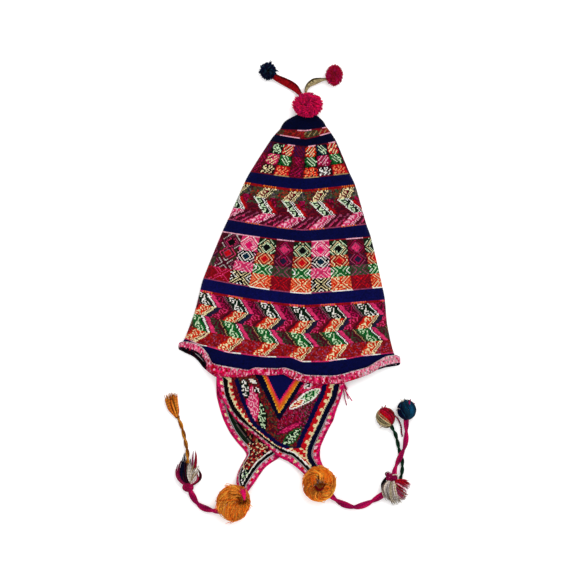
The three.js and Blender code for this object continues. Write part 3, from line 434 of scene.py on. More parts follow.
def charted(chart, column, row):
    """Whether a chart has its figure at a stitch."""
    column, row = int(column), int(row)
    return 0 <= row < len(chart) and 0 <= column < len(chart[0]) and chart[row][column] == "#"


def plain(colour):
    """The paint of a band in one colour."""
    return lambda row, column: YARN[colour]


def mottled(column, row, colours):
    """Small blots of mixed colours, as where a pattern has sunk into its ground."""
    blot = (math.sin(1.9 * column + 0.6 * row) + math.sin(0.7 * column - 1.7 * row + 1)
            + math.sin(1.1 * column + 1.3 * row + 2))
    return YARN[colours[math.floor(2 * blot) % len(colours)]]


FIRST_BAND_REPEAT = 52
FIRST_BAND_DASHES = {0: ((20, 34), (45, 52)), 7: ((6, 23), (40, 52))}
FIRST_BAND = (
    # last stitch of each segment on either side, the colours of its ground and of its slants
    (8, ("olive", "brown", "sage"), "wine"), (27, ("brick", "wine", "dark_red", "brown"), "brick"),
    (40, ("olive", "sage", "brown"), "tan"), (52, ("dark_red", "wine", "brick"), "tan"),
)


def paint_first_band(row, column):
    """Short segments of slants between dashed lines."""
    place = column % FIRST_BAND_REPEAT
    if row in FIRST_BAND_DASHES:
        dashed = any(start <= place < end for start, end in FIRST_BAND_DASHES[row])
        return YARN["pale" if dashed else "wine"]
    ground, slant = next(segment[1:] for segment in FIRST_BAND if place < segment[0])
    if (place + row) % 5 == 0 and 1 < row < 6:
        return YARN[slant]
    return mottled(column, row, ground)


BLOCKS = {
    # chart, ground, figure and shade of the three squares in a column, top to bottom
    "D": ((WHORL, "forest", "mint", "black"), (FLAME, "pink", "cream", "wine"),
          (TWIGS, "black", "cream", "maroon")),
    "R": ((FLAME, "red", "cream", "maroon"), (RAYS, "green", "mint", "forest"),
          (TWIGS, "red", "salmon", "dark_red")),
    "O": ((FLAME, "orange_red", "cream", "brown"), (RAYS, "green", "mint", "black"),
          (TWIGS, "orange_red", "salmon", "maroon")),
    "T": ((RAYS, "teal", "mint", "black"), (FLAME, "magenta", "pale", "wine"),
          (TWIGS, "black", "white", "maroon")),
    "M": ((RAYS, "purple", "wine", "maroon"), (RAYS, "wine", "magenta", "maroon"),
          (FLAME, "maroon", "magenta", "wine")),
}
BLOCK_ORDER = "MDRMOTRM"
BLOCK_WIDTH, BLOCK_HEIGHT = 11, 9
LAYER_BLOCKS = 7 * BLOCK_WIDTH
BEHIND_FOLD = 3


def paint_block_band(row, column):
    """Squares of slanting lines, scrolls and twigs, in columns of three."""
    block, inside = divmod(column % LAYER_BLOCKS + BEHIND_FOLD, BLOCK_WIDTH)
    kind = BLOCK_ORDER[block]
    if row == 0:
        return YARN["pale" if kind in "RO" and 2 < inside else "maroon"]
    if row == 3 * BLOCK_HEIGHT:
        return YARN["tan" if kind in "RO" else "wine"]
    level, line = divmod(row - 1, BLOCK_HEIGHT)
    chart, ground, figure, shade = BLOCKS[kind][level]
    if column >= LAYER_BLOCKS:
        inside = BLOCK_WIDTH - 1 - inside
    return YARN[{"#": figure, ".": ground, "x": shade}[chart[line][inside]]]


ZIGZAG_REPEAT = 24
ZIGZAG_START = 11
ZIGZAG_LAST_ROW = 34
ZIGZAG_ARMS = (
    # last row; first row, left edge there and its step a row; width; first row of the scrolls;
    # ground, figure, left line, right lines and the line between these
    (11, 0, 8.25, -0.75, 9.5, 3, "wine", "cream", "cream", "cream", "black"),
    (24, 11, 0, 0.85, 9.5, 11, "forest", "mint", "white", "white", "black"),
    (34, 24, 9.5, -1.25, 11, 24, "pink", "pale", "wine", "pale", "magenta"),
)
ZIGZAG_GROUNDS = (
    # last row, last place of the first ground, that ground's colours and the second one's
    (10, 6, ("maroon", "sage", "brick", "olive"), ("slate", "olive", "sage", "grey")),
    (17, 14, ("maroon", "sage", "wine"), ("maroon", "magenta", "wine")),
)


def paint_zigzag_band(row, column):
    """Zigzag strips with scrolls: they point left, then right, with muted ground between."""
    place = (column - ZIGZAG_START) % ZIGZAG_REPEAT - 4
    if row < 2:
        orange = 5 <= place < 17 and (row == 0 or column % 5 < 3)
        return YARN[("orange" if column % 2 else "brick") if orange else "dark_red"]
    if row == ZIGZAG_LAST_ROW:
        return YARN["orange" if 0 <= place < 12 and column % 2 else "mauve"]
    (last, top, edge, step, width, scrolls, ground, figure, left_line, right_line,
     line) = next(arm for arm in ZIGZAG_ARMS if row < arm[0])
    left = edge + step * (row - top)
    right = left + width
    for shift in (0, ZIGZAG_REPEAT):
        across = place + shift - left
        if 0 <= across <= right - left:
            from_right = right - left - across
            if across < 1:
                return YARN[left_line]
            if from_right < 1 or 2 <= from_right < 3:
                return YARN[right_line]
            if from_right < 4:
                return YARN[line]
            return YARN[figure if charted(HOOK, across - 0.5, (row - scrolls) % 7) else ground]
    past = place - right if place > right else place + ZIGZAG_REPEAT - right
    if 12 < row < 23 and past < 4:
        return YARN["scarlet" if past < 3 else "wine"]
    for last, place_last, near, far in ZIGZAG_GROUNDS:
        if row < last:
            return mottled(column, row, far if place > place_last else near)
    if row < 24:
        shown = charted(HOOK, (column + row // 7 * 3) % 8, row % 7)
        return YARN[("mauve" if place > 14 else "wine") if shown else "maroon"]
    slant = (place + ZIGZAG_REPEAT + 1.2 * (row - 24)) % 6
    return YARN["mauve" if slant < 1.2 else "pink" if slant < 2.2 and row > 27 else "maroon"]


DIAMONDS = {
    # centre, thin ring, ground, thick ring and corners of the two diamonds, top to bottom
    "A": (("hot", "pale", "pink", "pale", "white"), ("teal", "white", "black", "white", "pale")),
    "B": (("black", "mint", "forest", "cream", "mint"),
          ("red", "salmon", "dark_red", "cream", "salmon")),
    "C": (("pink", "mauve", "maroon", "magenta", "wine"),
          ("slate", "magenta", "maroon", "mauve", "slate")),
    "M": (("black", "pink", "maroon", "mauve", "ash"), ("red", "mauve", "brown", "pink", "sage")),
}
CROSSES = {
    # ground, inner lines and outer lines of the two crosses below them
    "A": (("pink", "pale", "pale"), ("black", "cream", "white")),
    "B": (("green", "mint", "white"), ("orange_red", "cream", "salmon")),
    "C": (("sage", "mauve", "maroon"), ("wine", "red", "dark_red")),
    "M": (("maroon", "ash", "mauve"), ("dark_red", "pink", "wine")),
}
DIAMOND_ORDER = "CMABCBABCBABCBABCBA"
DIAMOND_WIDTH, DIAMOND_START, DIAMOND_LAST_ROW = 16, 10, 45
DIAMOND_MIDDLES, CROSS_MIDDLES = (8, 18.5), (27.5, 38)
DIAMOND_RINGS, CROSS_RINGS = (3.6, 4.6, 6.3, 7.5, 9.2, 10.3), (1.3, 2.4, 4.2, 5.3, 7.2)


def ringed(ring, limits, colours):
    """The colour of the first ring that a place lies in, or the last one past them all."""
    return YARN[next((c for limit, c in zip(limits, colours) if ring < limit), colours[-1])]


def paint_diamond_band(row, column):
    """Columns of two nested diamonds over two crosses."""
    index, inside = divmod(column + DIAMOND_START, DIAMOND_WIDTH)
    kind = DIAMOND_ORDER[index]
    if row == 0:
        return YARN["dark_red" if kind == "B" else "pale"]
    if row == DIAMOND_LAST_ROW:
        return YARN["white" if kind == "B" else "mauve"]
    across = abs(inside - (DIAMOND_WIDTH - 1) / 2)
    if row < 24:
        centre, thin, ground, thick, corner = DIAMONDS[kind][row > 13]
        return ringed(across + abs(row - DIAMOND_MIDDLES[row > 13]), DIAMOND_RINGS,
                      (centre, thin, ground, thick, ground, corner, ground))
    ground, inner, outer = CROSSES[kind][row > 32]
    return ringed(abs(across - abs(row - CROSS_MIDDLES[row > 32])), CROSS_RINGS,
                  (ground, inner, ground, outer, ground, outer if row % 3 else ground))


CHEVRON_REPEAT, CHEVRON_LAST_ROW = 29, 49
ARM_ROWS, ARM_SLOPE, ARM_START = 11.5, 0.83, 9.5
CHEVRON_ARMS = (
    # edge line, ground and figure of the scrolls, the lines beside them, and ground and figure of
    # the dull strip and the zigzag behind it
    ("white", "forest", "white", "black grey maroon mauve", "maroon", "magenta", "pink"),
    ("cream", "orange_red", "cream", "red wine maroon maroon", "wine", "pink", "slate"),
    ("white", "green", "mint", "sage forest tan maroon", "maroon", "sage", "pink"),
)
LAST_ARM = 3
LAST_ARM_GROUND = ("dark_red", "brick", "wine", "scarlet", "dark_red", "mauve")


def paint_chevron_band(row, column):
    """Zigzags that point right: a bright strip of scrolls, and a dull one beside it. The last arm
    has the second one's scrolls on a ground without lines."""
    if row < 2:
        orange = column % 28 < 14 and (row == 0 or column % 3)
        return YARN[("orange" if column % 2 else "pink") if orange else "dark_red"]
    if row == CHEVRON_LAST_ROW:
        return YARN[("pink", "pale", "white")[column // 7 % 4 % 3]]
    arm = min(LAST_ARM, int((row - 2) / ARM_ROWS))
    down = row - 2 - ARM_ROWS * arm
    swing = down if arm % 2 == 0 else ARM_ROWS - down
    across = int(ARM_START + ARM_SLOPE * swing - column) % CHEVRON_REPEAT
    edge, ground, figure, lines, dull, dull_figure, zigzag = CHEVRON_ARMS[
        arm if arm < LAST_ARM else 1]
    if across == 0 or across == 2 and arm % 2:
        return YARN[edge]
    if across == 1:
        return YARN["wine" if arm % 2 else "black"]
    if across < 12:
        return YARN[figure if charted(HOOK, 10 - across, down % 7) else ground]
    if arm == LAST_ARM:
        return mottled(column, row, LAST_ARM_GROUND)
    if across < 16:
        return YARN[lines.split()[across - 12]]
    if across < 24:
        return YARN[dull_figure if charted(HOOK, (23 - across) % 8, down % 7) else dull]
    return YARN["black" if across == CHEVRON_REPEAT - 1 else zigzag]


def paint_inside(row, column):
    """The back of the knitting, with its floats of unused yarn."""
    floats = ("maroon", "navy", "wine", "navy", "black", "mauve")
    return YARN[floats[(row * 7 + column // 5 * 3) % len(floats)]]


ZONES = [
    # first round, last round, rows of stitches, stitches in a row, how they are painted
    (0, 2, 17, 60, plain("night")),
    (2, 3, 8, 104, paint_first_band),
    (3, 4, 6, 120, plain("night")),
    (4, 5, 28, 154, paint_block_band),
    (5, 6, 10, 190, plain("navy")),
    (6, 7, 35, 216, paint_zigzag_band),
    (7, 8, 10, 252, plain("navy")),
    (8, 9, 46, 288, paint_diamond_band),
    (9, 10, 10, 320, plain("ultra")),
    (10, 11, 24, 348, paint_chevron_band),
    (11, 12, 26, 348, lambda row, column: paint_chevron_band(row + 24, column)),
    (12, 13, 11, 360, plain("navy")),
]
crown = Stitches(seed=11, unevenness=0.2)
knots = np.r_[0, np.cumsum(-np.diff(CROWN_ROWS[:, 3]))]
outside = np.stack([round_line(i, 0) for i in range(HEM_ROW + 1)])
last_ring, last_columns = None, None
for first, last, rows, columns, paint in ZONES:
    for row in range(rows):
        at = knots[first] + (knots[last] - knots[first]) * row / rows
        ring = crown.ring(along_rounds(outside, knots, at, columns))
        if last_ring is None:
            crown.cap(ring, columns, lambda k: YARN["night"])
        else:
            crown.weave(last_ring, ring, last_columns, columns, last_row, last_paint)
        last_ring, last_columns, last_row, last_paint = ring, columns, row, paint
hem_ring = crown.ring(along_rounds(outside, knots, knots[-1], columns))
crown.weave(last_ring, hem_ring, columns, columns, last_row, paint)

INSIDE_COLUMNS, INSIDE_ROWS = 150, 100
INSIDE_FIRST = 2
inside = np.stack([round_line(i, KNIT) for i in range(INSIDE_FIRST, HEM_ROW + 1)])
inside_knots = knots[INSIDE_FIRST:]
last_ring, last_columns = hem_ring, columns
for row, at in enumerate(np.linspace(inside_knots[-1], inside_knots[0], INSIDE_ROWS)):
    ring = crown.ring(along_rounds(inside, inside_knots, at, INSIDE_COLUMNS))
    crown.weave(last_ring, ring, last_columns, INSIDE_COLUMNS, row, paint_inside)
    last_ring, last_columns = ring, INSIDE_COLUMNS
crown.cap(ring, INSIDE_COLUMNS, lambda k: YARN["maroon"], -1)
stand_for(crown.made("crown_knit"), "crown")

# Rim edging. A narrow knitted edging of the same wool, in pink, red and pale blocks, is sewn on all
# round the mouth. It rolls up over the hem at both corners, where its back shows near black: its
# own dark yarn deepened by painted shade.
EDGING = 0.0028
RIM_LIFT = 0.0025
STITCH = 0.0015
AROUND = 14
RIM_DARK_LEFT, RIM_DARK_RIGHT = -0.106, 0.116
RIM_PALE_LEFT, RIM_PALE_RIGHT = -0.104, 0.094
RIM_FRONT = MM * np.array([
    # attached edge a, free edge f and how far f lies lower: ax, ay, fx, fy, drop
    (-134.5, 24.3, -136, 14.5, 2.5), (-124, 23, -128, 12.2, 3), (-113, 18.5, -117.5, 7.5, 3.5),
    (-104, 8.5, -110.5, 0, 3.5), (-98.5, -2.5, -104.5, -9, 2), (-91, -5.5, -97, -17, 1.4),
    (-79, -7.8, -82, -21.8, 2.2), (-64, -10.4, -65, -22.2, 2.2), (-52, -12.3, -54, -21.2, 2),
    (-42, -9.3, -42, -18.4, 2), (-28, -9.8, -28, -20, 2.2), (-14, -10.3, -14, -19.2, 2),
    (-4, -9.4, -6, -18.4, 2), (8, -13.2, 4, -23.6, 2.4), (22, -18.4, 18, -28, 2.6),
    (36, -19.2, 36, -30.6, 2.8), (50, -19.6, 52, -31, 2.8), (66, -18.6, 69, -30, 2.6),
    (84.5, -13.6, 88, -24.6, 3), (103, -8.4, 107, -17.6, 2), (115, -1.4, 118.5, -11, 2),
    (127, 5, 129, -7.2, 2.6), (138, 7, 140, -5, 2.4),
])
RIM_SIDES_AND_BACK = MM * np.array([
    # ax, ay, az, fx, fy, fz
    (143.4, 5.4, 7.4, 144.2, -4.6, 6.4), (144.6, 4.2, 4, 145, -5.6, 3.8),
    (142.4, 1.4, 1.5, 142.6, -7.2, 1.5), (136, -0.4, 1.5, 136.5, -8.2, 1.5),
    (126, -2.4, 1.5, 127, -9.8, 1.5), (116, -5.2, 1.5, 117, -12.8, 1.5),
    (103.5, -9.6, 1.5, 104.5, -17, 1.5), (91, -14.8, 1.5, 92, -21.6, 1.5),
    (72, -19.2, 1.5, 72, -26.4, 1.5), (50, -22.8, 1.5, 50, -30.4, 1.5),
    (25, -23, 1.5, 25, -30.8, 1.5), (0, -22.8, 1.5, 0, -30.6, 1.5),
    (-30, -21.6, 1.5, -30, -29.4, 1.5), (-60, -19.9, 1.5, -60, -27.6, 1.5),
    (-78, -17.4, 1.5, -78.5, -25, 1.5), (-91.5, -15.2, 1.5, -94, -22, 1.5),
    (-100.6, -9.6, 1.5, -102.6, -16.2, 1.5),
    (-108.3, -3.4, 1.5, -110.4, -9.4, 1.5), (-114.8, 3.2, 1.5, -116.4, -1.6, 1.5),
    (-122.6, 10, 1.5, -123.4, 4.6, 1.5), (-132, 15.6, 1.5, -132.4, 8.8, 1.5),
    (-138.6, 19.6, 1.5, -138.6, 12, 1.5), (-140.7, 22.2, 4, -141, 13.6, 3.8),
    (-139.6, 23.4, 7.8, -140, 14.4, 6.6),
])


def hem_top(x):
    """Height of the crown's upper face along its hem."""
    return round_z(HEM_ROW, x, eased(HEM_FRONT, x), True, 0)


def smooth(points, spacing, loop=False, tension=0.5):
    """A smooth curve through points of any dimension, resampled at even distances."""
    n = len(points)
    spans = n if loop else n - 1
    t = np.linspace(0, spans, 40 * spans + 1)
    i = np.minimum(t.astype(int), spans - 1)
    f = (t - i)[:, None]
    p0, p1, p2, p3 = (points[(i + k) % n if loop else np.clip(i + k, 0, n - 1)]
                      for k in (-1, 0, 1, 2))
    curve = curved(f, p1, p2, tension * (p2 - p0), tension * (p3 - p1))
    along = distances(curve[:, :3])
    count = max(2, round(along[-1] / spacing))
    return resampled(curve, along, np.linspace(0, along[-1], count + 1)[:count + (not loop)])


def unit(vectors):
    """Vectors of length 1 in the same directions."""
    return vectors / np.maximum(np.linalg.norm(vectors, axis=-1, keepdims=True), 1e-12)


def band_section(squareness):
    """The corners round a band's section: across it, and up and down from its middle."""
    angles = 2 * np.pi * (np.arange(AROUND) + 0.5) / AROUND
    return (np.cos(angles)[None, :, None],
            (np.sign(np.sin(angles)) * np.abs(np.sin(angles)) ** squareness)[None, :, None])


def band_rings(stations, thickness, loop, facing):
    """Rounded sections of a band between its attached and free edges; facing turns it over."""
    line = smooth(stations, STITCH, loop, 0.4)
    attached, free = line[:, :3], line[:, 3:]
    across = free - attached
    middle = (attached + free) / 2
    ahead = np.roll(middle, -1, axis=0) - np.roll(middle, 1, axis=0)
    if not loop:
        ahead[0], ahead[-1] = middle[1] - middle[0], middle[-1] - middle[-2]
    normal = facing * unit(np.cross(across, ahead))
    way, rise = band_section(0.6)
    rings = (attached[:, None] + across[:, None] * (0.5 - 0.5 * way)
             + normal[:, None] * rise * thickness / 2)
    rings[..., 2] = np.maximum(rings[..., 2], 0)
    return rings


def knitted_loft(name, seed, rings, paint, loop=False):
    """A knitted piece through closed rings, each a row of stitches."""
    knitted = Stitches(seed, unevenness=0.3)
    starts = [knitted.ring(ring) for ring in rings]
    for row in range(len(rings) if loop else len(rings) - 1):
        knitted.weave(starts[row], starts[(row + 1) % len(rings)], AROUND, AROUND, row, paint)
    if not loop:
        knitted.cap(starts[0], AROUND, lambda k: paint(0, k))
        knitted.cap(starts[-1], AROUND, lambda k: paint(len(rings) - 2, k), -1)
    return knitted.made(name)


def paint_rim(row, column):
    """A thin grey line, small blots in pinks and reds, and a plain lower edge. Both corners are
    paler, and there the back of the knitting shows near black: its own dark yarn deepened by
    painted shade of the rolled edge."""
    x = rim_rings[row % len(rim_rings), column, 0]
    # Painted shade: the rolled back of the edging at both corners is painted near black.
    if x < RIM_DARK_LEFT and 3 < column < 13:
        return mottled(column, row, ("black", "night", "maroon", "black"))
    if x > RIM_DARK_RIGHT and 4 < column < 9:
        return YARN["night"]
    if column in (0, AROUND - 1):
        return mottled(column, row, ("ash", "pale", "ash", "mauve"))
    if x > RIM_PALE_RIGHT:
        return mottled(column, row, ("blush", "pale", "blush", "pink", "blush", "ash", "pale"))
    if x < RIM_PALE_LEFT:
        return mottled(column, row, ("blush", "pink", "pale", "pink", "blush", "rose"))
    if 4 < column < 8:
        return YARN["rose" if row % 7 else "blush"]
    blot = math.sin(0.8 * row + 1.1 * column) + math.sin(0.31 * row) + math.sin(1.7 * row - column)
    blocks = ("pink", "blush", "scarlet", "pink", "pale", "rose", "crimson", "blush", "hot", "rose")
    return YARN[blocks[math.floor(1.7 * blot + 0.4 * row) % len(blocks)]]


front = np.stack([RIM_FRONT[:, 0], RIM_FRONT[:, 1], hem_top(RIM_FRONT[:, 0]) + RIM_LIFT,
                  RIM_FRONT[:, 2], RIM_FRONT[:, 3],
                  hem_top(RIM_FRONT[:, 0]) + RIM_LIFT - RIM_FRONT[:, 4]], axis=1)
rim_rings = band_rings(np.concatenate([front, RIM_SIDES_AND_BACK]), EDGING, True, 1)
rim = knitted_loft("rim_knit", 21, rim_rings, paint_rim, loop=True)
stand_for(rim, "rim_edging")

# Ear flaps. Two patterned panels of the same wool, knitted down from the hem. Each narrows to a tip
# that holds a pompom; they cross, and the front one lies on the other.
GAP = 0.00035
HEM_STEP = 0.0011
FLAP_FRONT = MM * np.array([
    # a row's ends and heights: left x, left y, right x, right y, left z, middle z, right z
    (-83, -27, 65.3, -34, 13, 17.5, 14.5), (-80, -46, 61.5, -50, 10.5, 13.5, 11),
    (-72, -64, 54.5, -63, 8.8, 10.5, 8.6), (-62, -76, 49, -76, 8.2, 8.8, 7),
    (-46, -89.5, 42.5, -90.5, 7.8, 7.6, 6.2), (-24, -107.4, 36.5, -102.7, 7.4, 6.8, 5.6),
    (-6, -119.6, 31.6, -114.8, 6.6, 6.2, 5.6), (6.4, -124.4, 30.6, -124.2, 6.4, 6.4, 6.2),
    (18.3, -135.2, 33.5, -131, 8, 8, 7.6), (27, -144.5, 39.5, -140.5, 9.6, 9.8, 9.4),
])
FLAP_BACK = MM * np.array([
    (-85, -28, 59, -34, 4.75, 4.75, 4.75), (-84.5, -46, 58, -46, 1.4, 1.8, 1.4),
    (-80, -62, 49, -60, 1.3, 1.3, 1.3), (-75.5, -76, 36, -74, 1.3, 1.3, 1.3),
    (-67.5, -92, 19, -87, 1.3, 1.3, 1.3), (-58.5, -104, 5, -98, 1.3, 1.3, 1.3),
    (-51, -113, -8, -108, 1.3, 1.3, 1.3), (-50, -122.5, -18.5, -121, 1.3, 1.4, 1.3),
    (-54.5, -130.5, -27, -127, 1.6, 1.8, 1.6), (-58.5, -138, -35.5, -134, 3, 3.2, 3),
    (-62, -147, -43.5, -143.5, 5.8, 6, 5.8), (-63, -156, -49.5, -152.5, 9.4, 9.6, 9.4),
    (-61.5, -163, -54.5, -160.5, 12.6, 12.8, 12.6), (-61, -170, -57.5, -168, 15, 15, 15),
])
HEM_STEPS, HEM_REACH = 8, 9
ACROSS = np.linspace(0, 1, 241)


def flap_rows(table, hem, top_z):
    """Dense rows of points across a flap, the first one along the hem."""
    share = np.linspace(0, 1, HEM_STEPS + 1)
    x = table[0, 0] + (table[0, 2] - table[0, 0]) * share
    reach = (x[1] - x[0]) * np.linspace(-1, 1, HEM_REACH)
    y = eased(hem, x[:, None] + reach).min(axis=1) - GAP
    rows = [resampled(np.stack([x, y, top_z(x)], axis=1), share, ACROSS)]
    for left_x, left_y, right_x, right_y, left_z, mid_z, right_z in table:
        bow = 4 * ACROSS * (1 - ACROSS) * (mid_z - (left_z + right_z) / 2)
        rows.append(np.stack([left_x + (right_x - left_x) * ACROSS,
                              left_y + (right_y - left_y) * ACROSS,
                              left_z + (right_z - left_z) * ACROSS + bow], axis=1))
    return np.stack(rows)


def flap(name, seed, rows, paint):
    """A flap's stitches keep their width, and the panel's edges cut across their columns."""
    middle_first = np.concatenate([rows[:, len(ACROSS) // 2], rows.reshape(len(rows), -1)], axis=1)
    lines = smooth(middle_first, STITCH)[:, 3:].reshape(-1, len(ACROSS), 3)
    width = np.linalg.norm(lines[:, -1, :2] - lines[:, 0, :2], axis=1)
    knitted = Stitches(seed, unevenness=0.1)
    columns = int(width.max() / STITCH / 2) + 1
    grid = np.zeros((len(lines), 2 * columns + 1), dtype=int)
    for r, (line, wide) in enumerate(zip(lines, width)):
        offsets = np.clip(np.arange(-columns, columns + 1) * STITCH / wide, -0.5, 0.5) + 0.5
        kept = np.r_[True, np.diff(offsets) > 1e-9]
        grid[r] = np.cumsum(kept) - 1 + knitted.count
        knitted.ring(resampled(line, ACROSS, offsets[kept]))
    points = np.concatenate(knitted.points)
    for r in range(len(lines) - 1):
        for c in range(2 * columns):
            corners = [(grid[r, c], (c, r)), (grid[r + 1, c], (c, r + 1)),
                       (grid[r + 1, c + 1], (c + 1, r + 1)), (grid[r, c + 1], (c + 1, r))]
            unique = [corners[k] for k in range(4) if corners[k][0] != corners[k - 1][0]]
            if len(unique) > 2:
                where = points[[k for k, _ in unique]].mean(axis=0)
                knitted.face([k for k, _ in unique], [uv for _, uv in unique], paint(*where[:2]))
    panel = knitted.made(name)
    thickness = panel.modifiers.new("thickness", "SOLIDIFY")
    thickness.thickness = KNIT
    thickness.offset = 0
    return panel


def beside(line, x, y):
    """How far a place lies to the right of a line drawn downwards, and how far along the line."""
    steps = np.diff(line, axis=0)
    lengths = np.linalg.norm(steps, axis=1)
    away = np.array((x, y)) - line[:-1]
    share = np.clip((away * steps).sum(axis=1) / lengths**2, 0, 1)
    gaps = np.linalg.norm(away - share[:, None] * steps, axis=1)
    near = np.argmin(gaps)
    side = steps[near, 0] * away[near, 1] - steps[near, 1] * away[near, 0]
    return math.copysign(gaps[near], side), lengths[:near].sum() + share[near] * lengths[near]


FLAP_NAVY = MM * np.array([
    (-66.3, -26), (-62.4, -39), (-58.5, -52), (-52.7, -65), (-46.5, -78), (-42.3, -84.5),
    (-26.7, -97.5), (-14.3, -107.9), (1.3, -114.4), (11, -117),
])
FLAP_NAVY_HALF = 0.0026
FLAP_V_MIDDLE = -0.0114
FLAP_V = (
    # how far down each of the nested Vs reaches, its sides' slopes and its colour
    (0.0526, 0.46, 0.69, "ultra"), (0.0556, 0.45, 0.68, "hot"), (0.0604, 0.44, 0.66, "coral"),
    (0.0668, 0.43, 0.63, "orange"), (0.0692, 0.43, 0.62, "yellow"), (0.079, 0.52, 0.63, "night"),
)
LEAVES = (
    # x, y of one end and the other, half width, ground, figure and edge
    ((-58.5, -23.4, -53.3, -50), 6.2, "forest", "white", "black"),
    ((-50, -24, -41, -30), 2.6, "white", "cream", "white"),
    ((-44.2, -33.8, -36.4, -42.9), 4.6, "black", "white", "wine"),
    ((-46.8, -32.5, -44, -81), 8.2, "pink", "pale", "hot"),
    ((-38, -52, -30.6, -92), 6.6, "forest", "mint", "black"),
    ((20.8, -37, 31.2, -27.3), 4.8, "black", "white", "pale"),
    ((2, -63, 22, -50), 4.4, "red", "cream", "white"),
    ((8, -59, 42, -37), 6.6, "green", "mint", "white"),
    ((-16, -97, 21, -79), 4.6, "magenta", "pink", "maroon"),
    ((-7, -113, 17, -88), 6.4, "forest", "mint", "green"),
)
LEAF_FULLNESS = 0.6
LEFT_STRIPES = ((0.0046, "black"), (0.0066, "cream"))
RIGHT_STRIPES = ((0.0062, "night"), (0.008, "cream"))
TIP_STRIPES = ((0.0034, "black"), (0.0052, "white"))
BACK_TIP_STRIPES = ((0.0034, "black"), (0.0042, "white"))
# The back flap's stripes, checks and tip are painted darker than the front flap's: painted shade.
BACK_STRIPES = ((0.0044, "forest"), (0.0056, "grey"), (0.0092, "black"))
LEFT_CHECKS, LEFT_CHECK_REPEAT, LEFT_CHECK = 0.0098, 0.0075, 0.003
RIGHT_CHECKS, RIGHT_CHECK_REPEAT, RIGHT_CHECK, RIGHT_CHECK_WIDE = 0.0148, 0.0115, 0.0042, 0.0116
RIGHT_NAVY = 0.0208
FULL_LEFT_WIDTH = 0.0156
PINK_CORNER, MIDDLE_HALF, MIDDLE_END = -0.042, 0.014, -0.09
BACK_TIP, BACK_TIP_END, BACK_NARROWS = -0.142, -0.166, -0.108
BACK_CHECKS, BACK_CHECK = 0.0175, 0.0042


def striped(stripes, depth):
    """The colour of the stripe at a depth from a panel's edge."""
    return YARN[next(colour for limit, colour in stripes if depth < limit)]


def leaf_colour(x, y):
    """The leaves with scrolls on the flap, each a lens between its two ends."""
    for (x0, y0, x1, y1), half, ground, figure, edge in LEAVES:
        start, axis = MM * np.array((x0, y0)), MM * np.array((x1 - x0, y1 - y0))
        length = np.linalg.norm(axis)
        share = ((np.array((x, y)) - start) @ axis) / length**2
        across = ((x - start[0]) * axis[1] - (y - start[1]) * axis[0]) / length
        wide = MM * half * max(0.0, math.sin(math.pi * min(1, max(0, share)))) ** LEAF_FULLNESS
        if 0 < share < 1 and abs(across) < wide:
            if abs(across) > wide - STITCH:
                return YARN[edge]
            shown = charted(HOOK, share * length / STITCH % 7, (across + 0.02) / STITCH % 6)
            return YARN[figure if shown else ground]
    return None


def paint_front_flap(x, y):
    """Nested Vs in the middle, leaves beside them, and stripes and checks along both edges."""
    from_left, along_left = beside(FLAP_FRONT[:, :2], x, y)
    from_right, along_right = beside(FLAP_FRONT[:, 2:4], x, y)
    from_right = -from_right
    from_navy = beside(FLAP_NAVY, x, y)[0]
    column, row = int(x / STITCH + 200), int(200 - y / STITCH)
    if y < FLAP_NAVY[-2, 1]:
        for stripes, depth in ((TIP_STRIPES, from_left), (RIGHT_STRIPES, from_right)):
            if depth < stripes[-1][0]:
                return striped(stripes, depth)
        return YARN["cream" if (row // 2 + column // 3 * 2) % 3 == 2 else "red"]
    if from_right < RIGHT_STRIPES[-1][0]:
        return striped(RIGHT_STRIPES, from_right)
    if from_right < RIGHT_CHECKS:
        pale = from_right < RIGHT_CHECK_WIDE and along_right % RIGHT_CHECK_REPEAT < RIGHT_CHECK
        return YARN["cream" if pale else "red"]
    if from_right < RIGHT_NAVY or abs(from_navy) < FLAP_NAVY_HALF:
        return YARN["navy"]
    if from_navy < 0:
        from_left /= min(1, (from_left - from_navy) / FULL_LEFT_WIDTH)
        if from_left < LEFT_STRIPES[-1][0]:
            return striped(LEFT_STRIPES, from_left)
        if from_left < LEFT_CHECKS:
            return YARN["cream" if along_left % LEFT_CHECK_REPEAT < LEFT_CHECK else "red"]
        return mottled(column, row, ("wine", "brick", "wine", "maroon"))
    for reach, left, right, colour in FLAP_V:
        if max((FLAP_V_MIDDLE - x) / left, (x - FLAP_V_MIDDLE) / right) - y < reach:
            return YARN[colour]
    leaf = leaf_colour(x, y)
    if leaf is not None:
        return leaf
    if x > 0 and y > PINK_CORNER:
        return YARN[("pink", "magenta", "red")[(column // 2 + row) % 3]]
    if x > MIDDLE_HALF and y > MIDDLE_END:
        return mottled(column, row, ("wine", "mauve", "maroon", "sage", "magenta", "maroon"))
    if x > -MIDDLE_HALF and y > MIDDLE_END:
        return mottled(column, row, ("wine", "magenta", "maroon", "crimson", "mauve", "wine"))
    return mottled(column, row, ("wine", "brick", "maroon", "sage", "maroon", "brown"))


